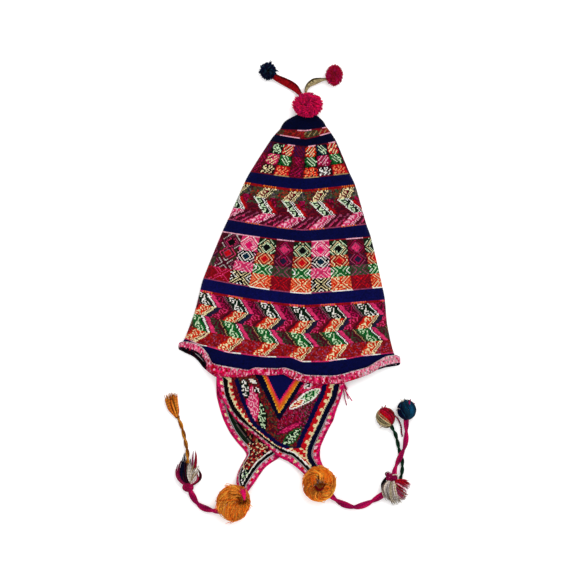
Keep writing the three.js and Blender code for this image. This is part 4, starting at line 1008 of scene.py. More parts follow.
def paint_back_flap(x, y):
    """The same panel under the front one, of which its left side and tip are seen. Its colours are
    darker than the front one's, grey for its white line and blacker, browner checks: painted shade
    from the front flap over it.
    """
    from_left, along = beside(FLAP_BACK[:, :2], x, y)
    from_right = -beside(FLAP_BACK[:, 2:4], x, y)[0]
    column, row = int(x / STITCH + 200), int(200 - y / STITCH)
    if y < BACK_TIP:
        depth = min(from_right, from_left + 0.001)
        if depth < BACK_TIP_STRIPES[-1][0]:
            return striped(BACK_TIP_STRIPES, depth)
        if y < BACK_TIP_END:
            return YARN["hot"]
        return mottled(column, row, ("forest", "night", "black", "night", "mint"))
    if y < BACK_NARROWS:
        if from_right < TIP_STRIPES[-1][0]:
            return striped(TIP_STRIPES, from_right)
        return mottled(column / 2, row / 2, ("red", "maroon", "black", "wine", "brick", "cream"))
    if from_left < BACK_STRIPES[-1][0]:
        return striped(BACK_STRIPES, from_left)
    if from_left < BACK_CHECKS:
        checks = ("wine", "brick", "maroon", "tan", "black")
        return YARN[checks[int(along / BACK_CHECK + column // 2) % len(checks)]]
    return mottled(column, row, ("maroon", "black", "wine", "brown", "maroon"))


flap_front = flap("flap_front_knit", 31,
                  flap_rows(FLAP_FRONT, HEM_FRONT, lambda x: hem_top(x) - KNIT / 2 - HEM_STEP),
                  paint_front_flap)
flap_back = flap("flap_back_knit", 32,
                 flap_rows(FLAP_BACK, HEM_BACK, lambda x: EDGING + 2 * GAP + KNIT / 2 + 0 * x),
                 paint_back_flap)
stand_for(flap_front, "ear_flap_front")
stand_for(flap_back, "ear_flap_back")

# Flap edging. The same narrow edging in squares of pale and hot pink is sewn down both sides of
# each flap, and ends at the flap's pompom.
EDGE_FRONT_LEFT = MM * np.array([
    # attached edge a and free edge f: ax, ay, az, fx, fy, fz
    (-84.6, -9.8, 16.2, -93, -8.6, 15.6), (-83.6, -27, 12.9, -92.6, -25, 11.8),
    (-80.6, -46, 10.4, -89, -45, 9), (-75.6, -58, 9.2, -81, -57.5, 7),
    (-72.6, -64.6, 8.7, -76.4, -65.8, 6), (-62.7, -76.7, 8.1, -66, -78.6, 5.6),
    (-46.5, -90.3, 7.7, -49.3, -93, 5.3), (-24.6, -108, 7.3, -27.6, -110.6, 5.2),
    (-16.9, -114, 7, -20.4, -118.4, 5.2), (-6.4, -120.3, 6.6, -10.5, -126.6, 5.2),
    (5.9, -125.1, 6.4, 0.4, -132, 5.4), (17.8, -135.9, 7.9, 12.3, -140.4, 7.2),
    (26.4, -145, 9.5, 22.4, -149.5, 9),
])
EDGE_FRONT_RIGHT = MM * np.array([
    (66.7, -21.4, 18.8, 73.5, -19.9, 18.4), (66, -34.2, 14.5, 72.7, -33, 13.6),
    (62.2, -50.3, 11, 68.5, -49.5, 10), (55.3, -63.4, 8.6, 63, -64.5, 7.6),
    (49.7, -76.4, 7, 58.8, -78.4, 5.6), (43.2, -91, 6.2, 52.6, -89.4, 4),
    (37.2, -103, 5.6, 47, -101.6, 2.8), (32.4, -115, 5.6, 42.5, -112.6, 2.6),
    (31.4, -124.3, 6.2, 41.6, -122.4, 4), (34.2, -131.2, 7.6, 42.6, -130, 6.4),
    (40.4, -140.8, 9.4, 46.6, -139.4, 8.6),
])
EDGE_BACK_LEFT = MM * np.array([
    (-85.7, -15.8, 4.75, -92.6, -14.8, 4.75), (-85.6, -28, 4.75, -93.4, -28, 4.75),
    (-85.2, -46, 1.4, -92.8, -46, 1.4), (-81.1, -60, 1.4, -89, -61.9, 1.4),
    (-76.2, -76.2, 1.4, -83.9, -77.5, 1.4), (-68.2, -92.3, 1.4, -75.4, -94.5, 1.4),
    (-59.2, -104.4, 1.4, -65.8, -107.5, 1.4), (-51.9, -113.2, 1.4, -57.3, -117, 1.4),
    (-51, -122.5, 1.5, -54, -123.5, 1.5), (-55.6, -130.8, 1.8, -58, -131.5, 1.6),
    (-59.4, -138.2, 3, -61.8, -139, 2.6), (-62.8, -147, 5.8, -65.4, -147.6, 5),
    (-63.8, -156, 9.4, -67, -156.6, 8.4), (-62.4, -163.2, 12.6, -66.2, -164.2, 11.8),
])
EDGE_BACK_RIGHT = MM * np.array([
    (59.8, -23.6, 4.75, 66.6, -22.8, 4.75), (59.6, -34.2, 4.75, 67, -34, 4.75),
    (58.6, -46.4, 1.4, 65.6, -48.2, 1.4), (49.6, -60.7, 1.4, 55.8, -65, 1.4),
    (36.5, -74.9, 1.4, 42.6, -80, 1.4), (19.5, -88, 1.4, 25, -93.6, 1.4),
    (5.5, -99, 1.4, 11, -104.6, 1.4), (-7.5, -109, 1.4, -1.4, -114.4, 1.4),
    (-17.9, -121.9, 1.4, -11.7, -127.2, 1.4), (-26.4, -127.9, 1.7, -21.2, -133.2, 1.6),
    (-34.8, -134.8, 3, -30, -140.2, 2.6), (-42.7, -144.2, 5.8, -36.8, -149.2, 5.2),
    (-48.8, -153.2, 9.4, -42.4, -157.8, 8.8), (-53.8, -161.2, 12.6, -48.8, -166.4, 12),
    (-56.8, -168.6, 15, -53.4, -172.6, 14.6),
])


def paint_edging(row, column):
    """A thin grey line, squares in pale and hot pink, and a plain hot pink outer half."""
    across = min(column, AROUND - 1 - column)
    if across == 0:
        return YARN["ash" if row % 4 else "mauve"]
    if across < 3:
        squares = ("pale", "pink", "blush", "hot", "cream", "pink", "pale", "red")
        return YARN[squares[row // 3 % len(squares)]]
    return YARN["magenta" if math.sin(0.9 * row + column) + math.sin(0.37 * row) > 0.6 else "hot"]


for k, (name, table, facing) in enumerate((
        ("front_left", EDGE_FRONT_LEFT, 1), ("front_right", EDGE_FRONT_RIGHT, -1),
        ("back_left", EDGE_BACK_LEFT, 1), ("back_right", EDGE_BACK_RIGHT, -1))):
    edging = knitted_loft(f"edging_{name}_knit", 41 + k, band_rings(table, EDGING, False, facing),
                          paint_edging)
    stand_for(edging, f"flap_edging_{name}")

# Pompoms and yarn balls. Three pompoms are bunches of yarn tied in the middle and clipped round.
# The two orange ones are soft unspun wool, brushed round its tie, and two balls are wound of yarn.


def yarn_relief(tree, u, v):
    """The slanting plies of a twisted yarn."""
    turn = maths(tree, "ADD", maths(tree, "MULTIPLY", u, 2.0), v)
    return maths(tree, "ABSOLUTE", maths(tree, "SINE", maths(tree, "MULTIPLY", turn, math.pi)))


yarn_wool = wool("yarn_wool", yarn_relief, bump=0.0004, sheen=0.025, fuzz=0.25)
PLY_PITCH = 0.0035


def strands(name, lines, radii, colours, sides=5, reference=None, painted_shade=(1, 1)):
    """Yarns as one mesh: lines (yarns, points, 3), radii (yarns, points), colours (yarns, 3) or,
    where they change along the yarn, (yarns, points, 3). The yarns' brightness goes from the
    first to the last value of painted_shade along them: painted shade where they start deep in a
    bunch, and a painted highlight where the last value brightens their ends."""
    count, steps, _ = lines.shape
    ahead = unit(np.gradient(lines, axis=1))
    if reference is None:
        chord = np.abs(lines[:, -1] - lines[:, 0])
        reference = np.eye(3)[np.argmin(chord, axis=1)][:, None]
    side = unit(np.cross(ahead, reference))
    up = np.cross(side, ahead)
    angles = 2 * np.pi * np.arange(sides) / sides
    rings = lines[:, :, None] + radii[:, :, None, None] * (
        np.cos(angles)[:, None] * side[:, :, None] + np.sin(angles)[:, None] * up[:, :, None])
    rings[..., 2] = np.maximum(rings[..., 2], 0)
    along = np.concatenate([np.zeros((count, 1)), np.cumsum(np.linalg.norm(
        np.diff(lines, axis=1), axis=2), axis=1)], axis=1) / PLY_PITCH
    index = np.arange(count * steps * sides).reshape(count, steps, sides)
    after = np.roll(index, -1, axis=2)
    quads = np.stack([index[:, :-1], after[:, :-1], after[:, 1:], index[:, 1:]], axis=-1)
    u = np.broadcast_to(np.arange(sides) / sides, (count, steps - 1, sides))
    v0 = np.broadcast_to(along[:, :-1, None], u.shape)
    v1 = np.broadcast_to(along[:, 1:, None], u.shape)
    uvs = np.stack([np.stack([u, v0], -1), np.stack([u + 1 / sides, v0], -1),
                    np.stack([u + 1 / sides, v1], -1), np.stack([u, v1], -1)], axis=3)
    faces = quads.reshape(-1, 4).tolist() + index[:, 0, ::-1].tolist() + index[:, -1].tolist()
    caps = np.zeros((2 * count * sides, 2))
    bright = np.interp(np.linspace(0, 1, steps), np.linspace(0, 1, len(painted_shade)), painted_shade)
    at_ring = colours.reshape(count, -1, 3) * bright[:, None]
    at_corner = np.stack([at_ring[:, :-1], at_ring[:, :-1], at_ring[:, 1:], at_ring[:, 1:]], axis=2)
    shades = np.concatenate([
        np.repeat(at_corner[:, :, None], sides, axis=2).reshape(-1, 3),
        np.repeat(at_ring[:, 0], sides, axis=0), np.repeat(at_ring[:, -1], sides, axis=0)])
    return coloured_mesh(name, rings.reshape(-1, 3), faces,
                         np.concatenate([uvs.reshape(-1, 2), caps]), shades, yarn_wool)


FLAT_FOOT = 0.0016
GOLDEN_ANGLE = math.pi * (3 - math.sqrt(5))


def directions(count):
    """Directions spread evenly over a ball."""
    i = np.arange(count)
    rise = 1 - (2 * i + 1) / count
    reach = np.sqrt(1 - rise**2)
    return np.stack([reach * np.cos(GOLDEN_ANGLE * i), reach * np.sin(GOLDEN_ANGLE * i), rise], 1)


def yarn_shades(random, colours, count, low=0.6, high=1.25):
    """A colour for each yarn, some darker and some brighter."""
    picked = np.array([YARN[colours[k]] for k in random.integers(0, len(colours), count)])
    return picked * random.uniform(low, high, (count, 1))


def dimpled(ways, dimple, depth, width=0.4):
    """How far a pompom's surface lies out in each direction, with a hollow on one side."""
    return 1 - depth * np.exp(-((ways - unit(np.array(dimple))) ** 2).sum(axis=-1) / width**2)


def heading(angle, rise):
    """The direction at an angle in plan, in degrees, that rises a little."""
    return np.array((math.cos(math.radians(angle)), math.sin(math.radians(angle)), rise))


def placed(x, y, half, lines, radius):
    """Lines on a ball of radius 1, moved to their place on the floor."""
    half = MM * np.array(half)
    return np.array((MM * x, MM * y, half[2] - FLAT_FOOT)) + lines * (half - radius / 2)


CLIPPED_POMPOMS = {
    # slot, x, y, half sizes, yarns, their radius, colours, direction and depth of the hollow, and
    # the angles at which wisps stand out
    "apex_pompom": ("pink_pompom_yarn", 25.5, 331, (20.5, 16.8, 15.5), 900, 0.0008,
                    ("rose", "rose", "magenta"), (-0.2, 0.2, 1), 0.16, ()),
    "navy_pompom": ("navy_pompom_yarn", -26, 375, (11.4, 12.2, 10.4), 330, 0.0008,
                    ("night", "teal", "night"), (0, 0, 1), 0, (15, 82, 160, 198)),
    "crimson_pompom": ("crimson_pompom_yarn", 60, 370, (12, 14.6, 11), 620, 0.00058,
                       ("crimson", "crimson", "magenta"), (-0.7, 0.7, 0.3), 0.12, ()),
}


def clipped_pompom(name, seed, x, y, half, count, radius, colours, dimple, depth, wisps):
    """Yarns from the tied middle out to a clipped round surface, with a few that stand out."""
    random = np.random.default_rng(seed)
    ways = unit(directions(count) + random.normal(0, 0.05, (count, 3)))
    for k, angle in enumerate(wisps):
        ways[k * 3:k * 3 + 3] = unit(heading(angle, 0.1) + random.normal(0, 0.06, (3, 3)))
    swirl = np.cross(ways, unit(random.normal(0, 0.5, (count, 3)) + (0, 0, 1)))
    at = np.linspace(0, 1, 7)[None, :, None]
    reach = (0.3 + 0.7 * at) * random.uniform(0.9, 1.05, (count, 1, 1))
    reach = reach * dimpled(ways, dimple, depth)[:, None, None]
    reach[:3 * len(wisps)] *= 1 + 0.22 * at
    lines = placed(x, y, half, unit(ways[:, None] + swirl[:, None] * 0.3 * at**2) * reach, radius)
    radii = radius * random.uniform(0.8, 1.2, (count, 1)) * np.array((0.5, 0.8, 1, 1, 1, 0.95, 0.5))
    # Painted shade: the yarns darken towards the tied middle, and their clipped tips get a painted
    # highlight.
    return strands(name + "_yarns", lines, radii, yarn_shades(random, colours, count, 0.75, 1.3),
                   painted_shade=(0.4, 0.6, 0.9, 1.15))


BRUSHED_POMPOMS = {
    # slot, x, y, half sizes, pole the wool lies round, swirl, depth of the hollow there, the tying
    # yarns' colour, way in plan in half sizes and half width, and the angles of the wisps
    "orange_pompom_left": (
        "orange_pompom_yarn", -70.8, -184.5, (22.6, 23.6, 17.5), (0.62, 0.16, 0.76), 0.1, 0.08,
        ("hot", ((0.52, 0.66), (0.66, 0.44), (0.62, 0.14)), 0.12),
        (120, 205, 228, 250, 262, 340)),
    # The right pompom's tying yarns are blood red and lie in its hollow as a dark crescent: partly
    # dark yarn, partly painted shade of the hollow.
    "orange_pompom_right": (
        "orange_pompom_yarn", 40, -159.5, (21.4, 23.6, 17.5), (0.04, -0.14, 1), 0.9, 0.2,
        ("blood", ((-0.24, -0.14), (0.04, -0.54), (0.32, -0.12)), 0.05), (20, 165, 285)),
}
LAID_STEPS = np.linspace(0, 1, 12)


def bent(at, first, middle, last):
    """The place at a share of the way from the first point to the last, drawn to the middle one."""
    return (1 - at) ** 2 * first + 2 * at * (1 - at) * middle + at**2 * last


def laid_round(axis, turns, start, end, swirl):
    """Lines on a ball of radius 1 that leave its pole at given turns and run down its side."""
    axis = unit(np.array(axis))
    east = unit(np.cross((0, 0, 1) if abs(axis[2]) < 0.9 else (0, 1, 0), axis))
    north = np.cross(axis, east)
    tilt = start[:, None] + (end - start)[:, None] * LAID_STEPS
    turn = turns[:, None] + np.reshape(swirl, (-1, 1)) * (tilt - start[:, None])
    return (axis * np.cos(tilt)[..., None] + np.sin(tilt)[..., None] * (
        east * np.cos(turn)[..., None] + north * np.sin(turn)[..., None]))


LOCKS, LOCK_RADIUS, TYING_YARNS = 1500, 0.00046, 22


def brushed_pompom(name, seed, x, y, half, pole, swirl, depth, tied, wisps):
    """Soft unspun wool that lies in loose locks round the place where the pompom is tied."""
    count, radius, tying = LOCKS, LOCK_RADIUS, TYING_YARNS
    random = np.random.default_rng(seed)
    turns = np.arange(count) * GOLDEN_ANGLE
    start = np.arccos(1 - 1.9 * (np.arange(count) + 0.5) / count) * 0.9 + 0.06
    flow = laid_round(pole, turns, start, start, 0)[:, 0] @ random.normal(0, 3.2, (3, 6))
    locks = np.sin(flow + random.uniform(0, 6, 6))
    bend, lean, lock_light = (locks[:, k:k + 2].sum(axis=1) for k in (0, 2, 4))
    lines = laid_round(pole, turns, start, start + random.uniform(0.3, 0.8, count),
                       swirl + 0.8 * bend + random.normal(0, 0.8, count))
    lines = unit(lines + random.normal(0, 0.05, (count, 1, 3))
                 + 0.05 * np.sin(5 * LAID_STEPS + lean[:, None])[..., None])
    reach = random.uniform(0.84, 1, (count, 1, 1)) * dimpled(lines, pole, depth, 0.3)[..., None]
    reach = reach + (random.random((count, 1, 1)) < 0.12) * 0.07 * LAID_STEPS[:, None]
    reach = reach * (0.97 + 0.04 * lean[:, None, None])
    for angle in wisps:
        nearest = np.argsort(-(lines[:, -1] @ heading(angle, -0.1)))[:7]
        reach[nearest] *= 1 + 0.16 * LAID_STEPS[:, None] ** 3
    colour, bend, wide = tied
    at = LAID_STEPS[:, None]
    way = bent(at, *np.array(bend))
    way = way + random.normal(0, wide / 2, (tying, 1, 2)) * (1.1 - at)
    rise = np.sqrt(np.maximum(1 - (way**2).sum(axis=2, keepdims=True), 0))
    lines = lines * reach
    lines[:tying] = np.concatenate([way, rise], axis=2) * 1.03
    lines = placed(x, y, half, lines, radius)
    radii = radius * random.uniform(0.7, 1.3, (count, 1)) * np.interp(
        LAID_STEPS, (0, 0.2, 0.8, 1), (0.4, 1, 1, 0.3))
    radii[:tying] *= 1.6
    shades = yarn_shades(random, ("rust", "amber", "orange", "amber"), count, 0.7, 1.6)
    # Painted highlight and shade: whole locks are made lighter and darker, as if clumps caught the
    # light.
    shades = shades * (1 + 0.17 * lock_light[:, None])
    shades[:tying] = YARN[colour]
    # Painted shade: the locks darken towards the tie, and their ends get a painted highlight.
    return strands(name + "_yarns", lines, radii, shades, sides=4, painted_shade=(0.8, 0.95, 1.1, 1.15))


WOUND_BALLS = {
    # slot, x, y, half sizes, axis the yarn is wound along, its colours in order round the axis,
    # and the loose ends: direction in plan, yarns and colour
    "red_white_ball": (
        "red_white_yarn", 126.8, -74.4, (12.6, 13.4, 11.2), (0.62, -0.78, 0.25),
        "red crimson red flax olive bone olive flax ash olive flax blood",
        ((118, 4, "crimson"), (250, 4, "bone"))),
    "teal_ball": (
        "teal_yarn", 154, -64.6, (12.8, 13, 11.2), (0.15, -1, 0.2),
        "azure azure teal night night teal navy night teal navy berry teal",
        ((112, 7, "bone"), (60, 6, "berry"), (88, 4, "forest"), (170, 4, "ash"))),
}


def wound_lines(axis, random, count, jitter=0.05):
    """Yarn wound from pole to pole."""
    turns = 2 * np.pi * (np.arange(count) + 0.5) / count + random.normal(0, jitter, count)
    ends = np.full(count, 0.12)
    return laid_round(axis, turns, ends, math.pi - ends, 0.25) * random.uniform(
        0.87, 1, (count, 1, 1))


WOUND_YARNS, WOUND_RADIUS = 72, 0.00095


def wound_ball(name, seed, x, y, half, axis, colours, loose):
    """Yarns side by side from pole to pole, a few strayed, with some short loose ends."""
    count, radius, colours = WOUND_YARNS, WOUND_RADIUS, colours.split()
    random = np.random.default_rng(seed)
    lines = wound_lines(axis, random, count, 0.09)
    order = (np.arange(count) * len(colours) / count + random.normal(0, 0.35, count)) % len(colours)
    shades = [YARN[colours[int(k)]] * random.uniform(0.4, 1.25) for k in order]
    for angle, ends, colour in loose:
        for _ in range(ends):
            tip = unit(heading(angle, 0.25) + random.normal(0, 0.2, 3) * (1, 1, 2))
            lines = np.append(lines, [tip * (0.85 + 0.22 * LAID_STEPS[:, None])
                                      + random.normal(0, 0.2, 3) * LAID_STEPS[:, None]], axis=0)
            shades.append(YARN[colour])
    lines = placed(x, y, half, lines, radius)
    radii = radius * random.uniform(0.75, 1.25, (len(lines), len(LAID_STEPS)))
    radii[count:] *= np.linspace(1.5, 0.5, len(LAID_STEPS))
    shades = np.array(shades)[:, None] * random.uniform(0.6, 1.3, (len(lines), len(LAID_STEPS), 1))
    return strands(name + "_yarns", lines, radii, shades, sides=6)


balls = {}
seed = 51
for make, table in ((clipped_pompom, CLIPPED_POMPOMS), (brushed_pompom, BRUSHED_POMPOMS),
                    (wound_ball, WOUND_BALLS)):
    for name, (slot_name, *facts) in table.items():
        balls[name] = make(name, seed, *facts)
        stand_for(balls[name], name)
        seed += 1

# Frayed ends. Loose yarns of the edging hang out where it is sewn on under the hem's right corner;
# four are long, and the rest are short.
FRAYED_YARNS, LONG_YARNS, FRAYED_RADIUS = 14, 4, 0.0007
FRAYED_ENDS = ((68, -27), (72.6, -34), (76.6, -42), (81, -49.6))
random = np.random.default_rng(59)
frayed = MM * (np.stack([np.interp(LAID_STEPS, (0, 0.4, 0.8, 1), way)
                         for way in zip(*FRAYED_ENDS)] + [7 - 4 * LAID_STEPS], axis=-1)
               + random.normal(0, 1, (FRAYED_YARNS, 1, 3)) * (1.5, 2.2, 0.7)
               + random.normal(0, 3, (FRAYED_YARNS, 1, 3)) * (1, 1, 0.3)
               * LAID_STEPS[:, None] ** 2)
short = frayed[LONG_YARNS:]
short[:] = short[:, :1] + 0.45 * (short - short[:, :1])
frayed[..., 2] = np.maximum(frayed[..., 2], 0.0008)
fray = strands("frayed_edging_yarns", frayed,
               np.full((FRAYED_YARNS, len(LAID_STEPS)), FRAYED_RADIUS),
               yarn_shades(random, ("magenta", "pink", "pale"), FRAYED_YARNS))

# Straps on the top pompom. Two narrow knitted tapes, the red one folded flat and the cream one
# twisted, sewn into the top pompom and each with a small pompom on its end.
STRAP_THICKNESS = 0.0024
RED_STRAP = MM * np.array([
    # x, y, z, width
    (-18.6, 369, 9.4, 8), (-13, 365.6, 7, 9), (-3, 360.8, 4.4, 10.6), (6.5, 355.6, 3.6, 10.6),
    (12.5, 350, 5.4, 8), (17, 343.6, 9, 4.6),
])
CREAM_STRAP = MM * np.array([
    (23.6, 344.6, 11, 3.4), (23.4, 350.6, 8, 4), (26.8, 357, 5, 6.4), (33.6, 361.6, 3.6, 8.8),
    (40.6, 363.6, 4.6, 6.6), (46, 364.4, 7, 4), (50.4, 365, 9.4, 4),
])


def strap(name, seed, table, colours):
    """A flat tape with a second colour down its middle."""
    line = smooth(table, STITCH / 1.5)
    ahead = unit(np.gradient(line[:, :3], axis=0))
    side = unit(np.cross(ahead, (0, 0, 1)))
    way, rise = band_section(0.5)
    rings = (line[:, None, :3] + side[:, None] * (way * line[:, 3][:, None, None] / 2)
             + np.array((0, 0, 1)) * rise * STRAP_THICKNESS / 2)
    return knitted_loft(name + "_knit", seed, rings,
                        lambda row, column: YARN[colours[3 < column < 8]])


stand_for(strap("red_strap", 61, RED_STRAP, ("dark_red", "blood")), "red_strap")
stand_for(strap("cream_strap", 62, CREAM_STRAP, ("flax", "olive")), "cream_strap")

# Ties. Magenta cords of two plies leave the flap pompoms and end in tassels; out of the tassels
# come an orange braid with a small tassel, and pink and green strands with yarn balls.
TIE_LEFT = [
    (-0.088, -0.1954, 0.0086), (-0.095, -0.196, 0.006), (-0.104, -0.194, 0.0041),
    (-0.1125, -0.1904, 0.0041), (-0.119, -0.1846, 0.0041), (-0.1236, -0.177, 0.0048),
    (-0.127, -0.1696, 0.006),
]
TIE_RIGHT = [
    (0.0535, -0.1735, 0.0086), (0.0586, -0.1784, 0.0064), (0.066, -0.184, 0.0041),
    (0.076, -0.1886, 0.0041), (0.0865, -0.191, 0.0041), (0.096, -0.189, 0.0041),
    (0.1055, -0.1852, 0.0044), (0.115, -0.18, 0.0056), (0.1244, -0.1736, 0.008),
]
BRAID = [
    (-0.1304, -0.134, 0.009), (-0.1306, -0.1206, 0.0066), (-0.1328, -0.108, 0.0034),
    (-0.1358, -0.095, 0.0026), (-0.1392, -0.0836, 0.003), (-0.1426, -0.0756, 0.0038),
]
PINK_STRAND = [
    (0.1376, -0.1495, 0.012), (0.1388, -0.142, 0.011), (0.1416, -0.134, 0.01),
    (0.147, -0.1226, 0.0094), (0.1516, -0.112, 0.008), (0.1534, -0.101, 0.0064),
    (0.1536, -0.09, 0.0068), (0.1534, -0.079, 0.0086), (0.1536, -0.072, 0.01),
]
GREEN_STRAND = [
    (0.1456, -0.1546, 0.008), (0.1478, -0.147, 0.0054), (0.1486, -0.138, 0.0027),
    (0.148, -0.1274, 0.0026), (0.1446, -0.117, 0.0026), (0.1424, -0.107, 0.0026),
    (0.1396, -0.0964, 0.0036), (0.1344, -0.0862, 0.0076), (0.1316, -0.0816, 0.0092),
]
THIN_STRAND = [
    (0.1372, -0.0716, 0.009), (0.1414, -0.0746, 0.006), (0.1446, -0.08, 0.0026),
    (0.147, -0.087, 0.0014), (0.1474, -0.0936, 0.0016), (0.1486, -0.0992, 0.0026),
]


PLY_STEP = 0.0008
PATH_STEPS = 24


def plied(name, route, width, pitch, colours):
    """A cord of plies laid round each other along its route, and the path it follows."""
    line = smooth(np.array(route), PLY_STEP)
    ahead = unit(np.gradient(line, axis=0))
    side = unit(np.cross(ahead, (0, 0, 1)))
    up = np.cross(side, ahead)
    along = np.arange(len(line)) * PLY_STEP
    plies = len(colours)
    turns = 2 * np.pi * (along[None] / pitch + np.arange(plies)[:, None] / plies)
    lines = line[None] + width / 4 * (
        np.cos(turns)[..., None] * side + np.sin(turns)[..., None] * up)
    radii = np.full(lines.shape[:2], width * 0.27)
    # The plies are made lighter and darker in streaks along the cord.
    streaks = 0.82 + 0.12 * np.sin(along / 0.0037) + 0.14 * np.sin(along / 0.0091 + 2)
    shades = np.array([YARN[colour] for colour in colours])[:, None] * streaks[:, None]
    cord = strands(name + "_cord", lines, radii, shades, sides=12, reference=np.array((0, 0, 1.0)))
    return cord, smooth(np.array(route), along[-1] / PATH_STEPS)


YARN_RADIUS, KNOT_YARNS = 0.0009, 34
TASSELS = {
    # slot; knot x, y, z, half size and colour; then bundles of yarn: root, middle and tip in
    # plan and height, half widths at the three, yarns and colours
    "tassel_left": ("tassel_yarn", (-130, -165.4, 6.6, 6.4, "magenta"), (
        ((-130, -163, 8), (-142.6, -150, 10), (-141, -133, 11), (2.4, 3, 2.4), 26,
         "magenta berry wine magenta mauve"),
        ((-131, -161, 7), (-135.6, -147, 12), (-134.4, -124, 13), (1.6, 5, 1.4), 34,
         "maroon black night black"),
        ((-126.4, -159, 9), (-126, -149, 15), (-121.6, -136, 14), (0.5, 4, 8), 60,
         "bone ash bone tan white"),
        ((-123, -146, 12), (-119.4, -130, 12), (-120.6, -117, 10), (2, 1.4, 0.6), 6, "crimson"),
        ((-124, -146, 12), (-123.6, -130, 12), (-122.6, -117, 10), (1.6, 0.8, 0.4), 3, "mauve"),
        ((-126, -163, 6), (-114, -153, 8), (-117.5, -141, 10), (0.8, 1.6, 1), 7, "wine maroon"),
        ((-128, -161, 8), (-119, -155, 11), (-119.6, -144, 11), (0.8, 2, 2), 14,
         "pale crimson white mauve"),
        ((-130, -163, 4), (-131, -146, 4), (-128, -130, 5), (2, 9, 6), 70, "maroon ash wine"),
    )),
    "tassel_right": ("tassel_yarn", (135, -153, 12, 6.4, "berry"), (
        ((134, -155, 13), (127.4, -167, 14), (133, -182, 8), (2, 5.4, 5), 70,
         "bone tan ash grey"),
        ((136, -156, 14), (136.5, -171, 17), (142, -186, 10), (2, 5.4, 6), 70,
         "bone flax ash tan"),
        ((129, -152, 8), (123.2, -163, 8), (126, -176, 7), (1, 2.2, 1.4), 14, "forest black"),
        ((139, -157, 15), (148, -160, 16), (156, -166, 9), (2, 5, 7), 60,
         "crimson red pale crimson wine"),
        ((136, -163, 16), (145, -173, 16), (153, -178, 8), (2, 4.4, 5.4), 44,
         "crimson bone mauve red bone"),
        ((134, -150, 15), (141, -148.6, 16), (144, -155, 15), (0.1, 0.3, 0.1), 2, "bone"),
        ((129, -151, 15), (127.6, -147.6, 16), (131, -145, 17), (1, 2, 1.6), 10, "berry maroon"),
        ((135, -156, 6), (138, -170, 4), (143, -182, 4), (3, 12, 9), 70, "ash maroon grey"),
    )),
    "end_tassel": ("orange_yarn", (-143.6, -74, 3, 2.2, "umber"), (
        ((-144, -75, 3), (-149.6, -61, 6), (-153.4, -45, 6), (0.8, 6, 7), 80,
         "amber rust umber ochre"),
        ((-144, -75, 3), (-146.4, -62, 6), (-147.6, -45, 5), (0.8, 4, 4), 40, "rust umber amber"),
        ((-144, -75, 3), (-148.6, -62, 3), (-151, -49, 3), (0.8, 4.6, 6.4), 40, "umber ochre"),
    )),
}


def bundle_lines(random, root, middle, tip, widths, count):
    """Yarns that leave one place together, bow out and end raggedly."""
    root, middle, tip = (MM * np.array(point, dtype=float) for point in (root, middle, tip))
    at = LAID_STEPS[None, :, None] * random.uniform(0.66, 1.08, (count, 1, 1))
    lines = bent(at, root, 2 * middle - (root + tip) / 2, tip)
    side = unit(np.cross(tip - root, (0, 0, 1)))
    spread = random.uniform(-1, 1, (count, 1, 1)) + random.normal(0, 0.16, (count, 1, 1)) * at
    height = random.uniform(-1, 1, (count, 1, 1)) * np.sqrt(np.clip(1 - spread**2, 0, 1)) * 0.7
    wide = MM * np.interp(LAID_STEPS, (0, 0.5, 1), widths)[None, :, None]
    lines = lines + side * spread * wide + np.array((0, 0, 1)) * height * wide
    lines[..., 2] = np.maximum(lines[..., 2], YARN_RADIUS)
    return lines


def tassel(name, seed, knot, bundles):
    """Cut yarns held by a wound knot."""
    random = np.random.default_rng(seed)
    x, y, z, half, colour = knot
    lines = [MM * np.array((x, y, z)) + wound_lines((0.3, 1, 0.1), random, KNOT_YARNS)
             * MM * half * np.array((1.1, 0.9, 0.9))]
    shades = [yarn_shades(random, (colour,), KNOT_YARNS, 0.55, 1.1)]
    for root, middle, tip, widths, count, colours in bundles:
        lines.append(bundle_lines(random, root, middle, tip, widths, count))
        shades.append(yarn_shades(random, colours.split(), count, 0.5, 1.1))
    lines = np.concatenate(lines)
    shades = np.concatenate(shades)[:, None] * random.uniform(
        0.75, 1.1, (len(lines), len(LAID_STEPS), 1))
    radii = YARN_RADIUS * random.uniform(0.6, 1.1, (len(lines), 1)) * np.interp(
        LAID_STEPS, (0, 0.7, 1), (1, 1, 0.3))
    return strands(name + "_yarns", lines, radii, shades)


tassels = {}
for k, (name, (slot_name, *facts)) in enumerate(TASSELS.items()):
    tassels[name] = tassel(name, 71 + k, *facts)
    stand_for(tassels[name], name)

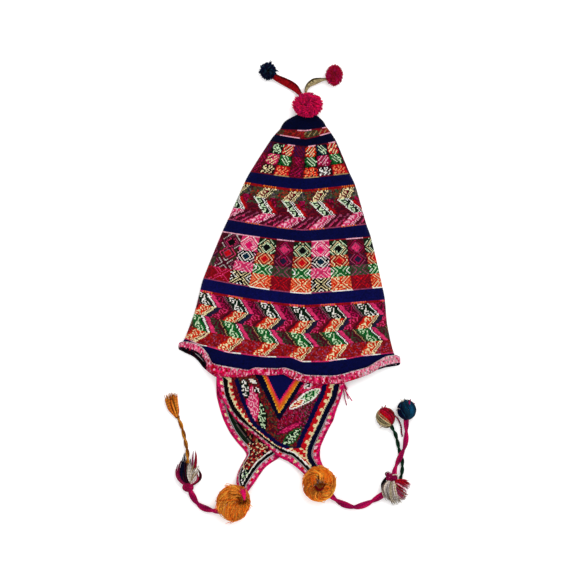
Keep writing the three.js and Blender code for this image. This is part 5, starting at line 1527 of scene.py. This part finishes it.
CORDS = {
    # slot, route, width, length of a twist, plies, length, far end and what hangs on it
    "tie_left": ("magenta_yarn", TIE_LEFT, 0.008, 0.044, ("magenta", "berry"), 0.053, "knot",
                 [tassels["tassel_left"]]),
    "orange_braid": ("orange_yarn", BRAID, 0.005, 0.026, ("ochre", "umber"), 0.061, "knot",
                     [tassels["end_tassel"]]),
    "tie_right": ("magenta_yarn", TIE_RIGHT, 0.008, 0.05, ("magenta", "berry"), 0.081, "knot",
                  [tassels["tassel_right"]]),
    "pink_strand": ("magenta_yarn", PINK_STRAND, 0.0068, 0.048, ("magenta", "berry"), 0.081,
                    "knot", [balls["teal_ball"]]),
    "green_strand": ("green_yarn", GREEN_STRAND, 0.005, 0.024, ("forest", "pine"), 0.078,
                     "knot", [balls["red_white_ball"]]),
    "thin_strand": ("maroon_yarn", THIN_STRAND, 0.0024, 0.006, ("maroon", "magenta"), 0.034,
                    "bare", []),
}
for name, (slot_name, route, width, pitch, colours, length, far_end, ends) in CORDS.items():
    piece, path = plied(name, route, width, pitch, colours)
    stand_for(piece, name)

# Floor and lights. The photograph's even white ground is a sheet of pale paper under the hat, and
# its soft daylight comes from above.
# The paper glows a little by its emission: painted light that keeps the floor white and its shadows
# pale.
GLOWING_PAPER = {"Base Color": (0.98, 0.98, 0.98, 1), "Emission Color": (1, 1, 1, 1),
         "Emission Strength": 0.12, "Roughness": 0.9}
DAYLIGHT = {"Color": (1, 1, 1, 1), "Strength": 1.05}
floor_mesh = bpy.data.meshes.new("floor")
floor_mesh.from_pydata([(-3, -3, 0), (3, -3, 0), (3, 3, 0), (-3, 3, 0)], [], [(0, 1, 2, 3)])
floor = bpy.data.objects.new("floor", floor_mesh)
floor.location.z = -0.0005
bpy.context.scene.collection.objects.link(floor)
paper = bpy.data.materials.new("pale_glowing_paper")
paper.use_nodes = True
for socket, value in GLOWING_PAPER.items():
    paper.node_tree.nodes["Principled BSDF"].inputs[socket].default_value = value
floor_mesh.materials.append(paper)

world = bpy.data.worlds.new("studio")
world.use_nodes = True
for socket, value in DAYLIGHT.items():
    world.node_tree.nodes["Background"].inputs[socket].default_value = value
bpy.context.scene.world = world


def softbox(name, location, size, power):
    """A large square lamp aimed at the middle of the hat."""
    lamp = bpy.data.lights.new(name, "AREA")
    lamp.size = size
    lamp.energy = power
    lamp_object = bpy.data.objects.new(name, lamp)
    lamp_object.location = location
    aim_x, aim_y, aim_z = np.array((0.0, 0.09, 0.0)) - np.array(location)
    lamp_object.rotation_euler = (math.atan2(math.hypot(aim_x, aim_y), -aim_z), 0,
                                  math.atan2(aim_y, aim_x) - math.pi / 2)
    bpy.context.scene.collection.objects.link(lamp_object)


softbox("key_light", (0.8, 1.2, 2.4), 1.8, 36)
bpy.context.scene.view_settings.view_transform = "Standard"
